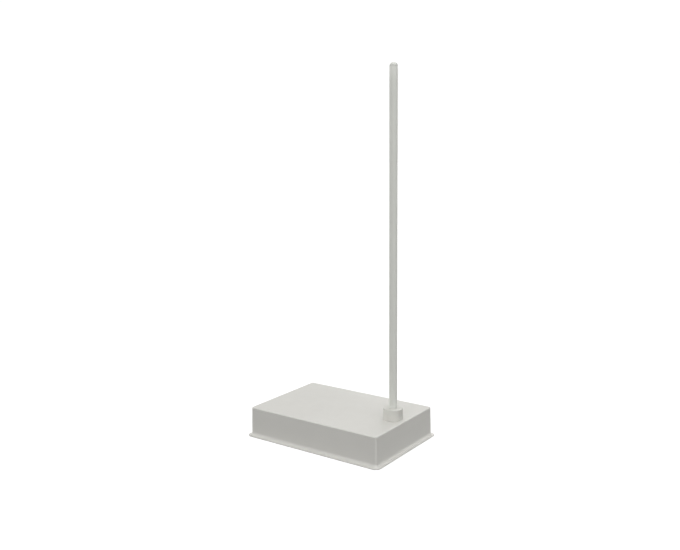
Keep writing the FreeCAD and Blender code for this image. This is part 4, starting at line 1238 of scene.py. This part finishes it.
@dataclass(frozen=True)
class SunLight:
    """A soft light with parallel rays.

    Attributes:
        name: light name.
        energy: strength.
        azimuth: the side that it comes from in degrees, 0 at the front and 90 at +X.
        elevation: height above the horizon in degrees.
        spread: angular width in degrees.
    """

    name: str
    energy: float
    azimuth: float
    elevation: float
    spread: float

    def build(self) -> None:
        """Make the light."""
        data = bpy.data.lights.new(self.name, "SUN")
        data.energy = self.energy
        data.angle = math.radians(self.spread)
        light = bpy.data.objects.new(self.name, data)
        light.rotation_mode = "QUATERNION"
        light.rotation_quaternion = towards(self.azimuth, self.elevation).to_track_quat("Z", "Y")
        bpy.context.scene.collection.objects.link(light)


def towards(azimuth: float, elevation: float) -> Vector:
    """The direction from the pedestal towards a side.

    Args:
        azimuth: degrees round from the front towards +X.
        elevation: degrees above the horizon.

    Returns:
        A unit vector.
    """
    side, rise = math.radians(azimuth), math.radians(elevation)
    return Vector((math.sin(side) * math.cos(rise), -math.cos(side) * math.cos(rise), math.sin(rise)))


@dataclass(frozen=True)
class MastLamp:
    """A soft box beside the head of the mast, which fades towards the base.

    Attributes:
        power: strength in watts.
        azimuth: the side that it stands on in degrees, 0 at the front and 90 at +X.
        distance: how far it stands from the mast.
        height: its height.
        size: side of the square box.
    """

    power: float = 1.2
    azimuth: float = 30
    distance: float = 1.2
    height: float = 1.5
    size: float = 0.5

    def build(self) -> None:
        """Make the light."""
        data = bpy.data.lights.new("mast_lamp", "AREA")
        data.energy = self.power
        data.size = self.size
        lamp = bpy.data.objects.new("mast_lamp", data)
        side = towards(self.azimuth, 0)
        lamp.location = Vector((*axis_of("mast_tube"), self.height)) + side * self.distance
        lamp.rotation_mode = "QUATERNION"
        lamp.rotation_quaternion = side.to_track_quat("Z", "Y")
        lamp.visible_camera = False
        bpy.context.scene.collection.objects.link(lamp)


LIGHTS = (
    SunLight("overhead", 1.46, 0, 90, 44),
    SunLight("front_wall", 1.79, 0, 15, 60),
    SunLight("right_wall", 1.64, 90, 15, 60),
    SunLight("back_wall", 1.66, 180, 15, 60),
    SunLight("left_wall", 1.38, 270, 15, 60),
    MastLamp(),
)


@dataclass
class Studio:
    """A pale floor that glows a little, soft lights all round, and the camera."""

    lens: float = 41.962
    azimuth: float = 35.494
    elevation: float = 9.446
    roll: float = math.radians(0.544)
    shift_right: float = -0.831 * MM
    shift_up: float = -526.62 * MM
    distance: float = 2608.675 * MM
    sensor: float = 36
    clip: tuple[float, float] = (0.05, 200)
    floor_half: float = 30
    floor_gap: float = 0.2 * MM
    floor_glow: float = 0.93
    floor_finish: Finish = Finish("studio_floor", (0.12, 0.12, 0.12), roughness=0.9, mottle=0.002, wear=0.0)
    sky_light: float = 0.04
    sky_gloss: float = 0.45
    sky_seen: float = 1.03

    def build(self) -> None:
        """Make floor, lights and camera."""
        self.floor()
        self.sky()
        for light in LIGHTS:
            light.build()
        self.camera()

    def floor(self) -> None:
        """A wide floor that glows white, but neither lights the walls nor mirrors in them."""
        mesh = bmesh.new()
        bmesh.ops.create_grid(mesh, x_segments=1, y_segments=1, size=self.floor_half)
        piece = new_object("studio_floor", mesh, self.floor_finish)
        piece.data.transform(Matrix.Translation((0, 0, -self.floor_gap)))
        shader = self.floor_finish.material().node_tree.nodes["Principled BSDF"]
        shader.inputs["Emission Color"].default_value = (1, 1, 1, 1)
        shader.inputs["Emission Strength"].default_value = self.floor_glow
        piece.visible_diffuse = False
        piece.visible_glossy = False

    def sky(self) -> None:
        """A white surround, dim as a light and grey in reflections."""
        world = bpy.data.worlds.new("studio")
        world.use_nodes = True
        nodes, links = world.node_tree.nodes, world.node_tree.links
        background = nodes["Background"]
        path = nodes.new("ShaderNodeLightPath")
        mirrored = nodes.new("ShaderNodeMapRange")
        mirrored.inputs["To Min"].default_value = self.sky_light
        mirrored.inputs["To Max"].default_value = self.sky_gloss
        links.new(path.outputs["Is Glossy Ray"], mirrored.inputs["Value"])
        strength = nodes.new("ShaderNodeMapRange")
        strength.inputs["To Max"].default_value = self.sky_seen
        links.new(mirrored.outputs["Result"], strength.inputs["To Min"])
        links.new(path.outputs["Is Camera Ray"], strength.inputs["Value"])
        background.inputs["Color"].default_value = (1, 1, 1, 1)
        links.new(strength.outputs["Result"], background.inputs["Strength"])
        bpy.context.scene.world = world

    def camera(self) -> None:
        """The camera, turned a little about its own axis."""
        back = towards(self.azimuth, self.elevation)
        right = towards(self.azimuth + 90, 0)
        up = back.cross(right)
        data = bpy.data.cameras.new("camera")
        data.sensor_width = self.sensor
        data.lens = self.lens
        data.clip_start, data.clip_end = self.clip
        camera = bpy.data.objects.new("camera", data)
        turn = Matrix((right, up, back)).transposed() @ Matrix.Rotation(-self.roll, 3, "Z")
        place = -right * self.shift_right - up * self.shift_up + back * self.distance
        camera.matrix_world = Matrix.Translation(place) @ turn.to_4x4()
        bpy.context.scene.collection.objects.link(camera)
        bpy.context.scene.camera = camera
        bpy.context.scene.view_settings.view_transform = "Standard"


def main() -> None:
    """Build the pedestal's visible pieces and the studio."""
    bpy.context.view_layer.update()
    Studio().build()
    Cover().build()
    Mast().build()
    Collar().build()
    helix, ring = HelixTree(), RoundelTree()
    Socket().build(helix)
    Aerial().build(helix)
    for corner in CORNERS:
        LevellingFoot(corner).build(helix, ring)
    finish_frame_nodes()
    log.info("sizes written")


if __name__ == "__main__":
    main()
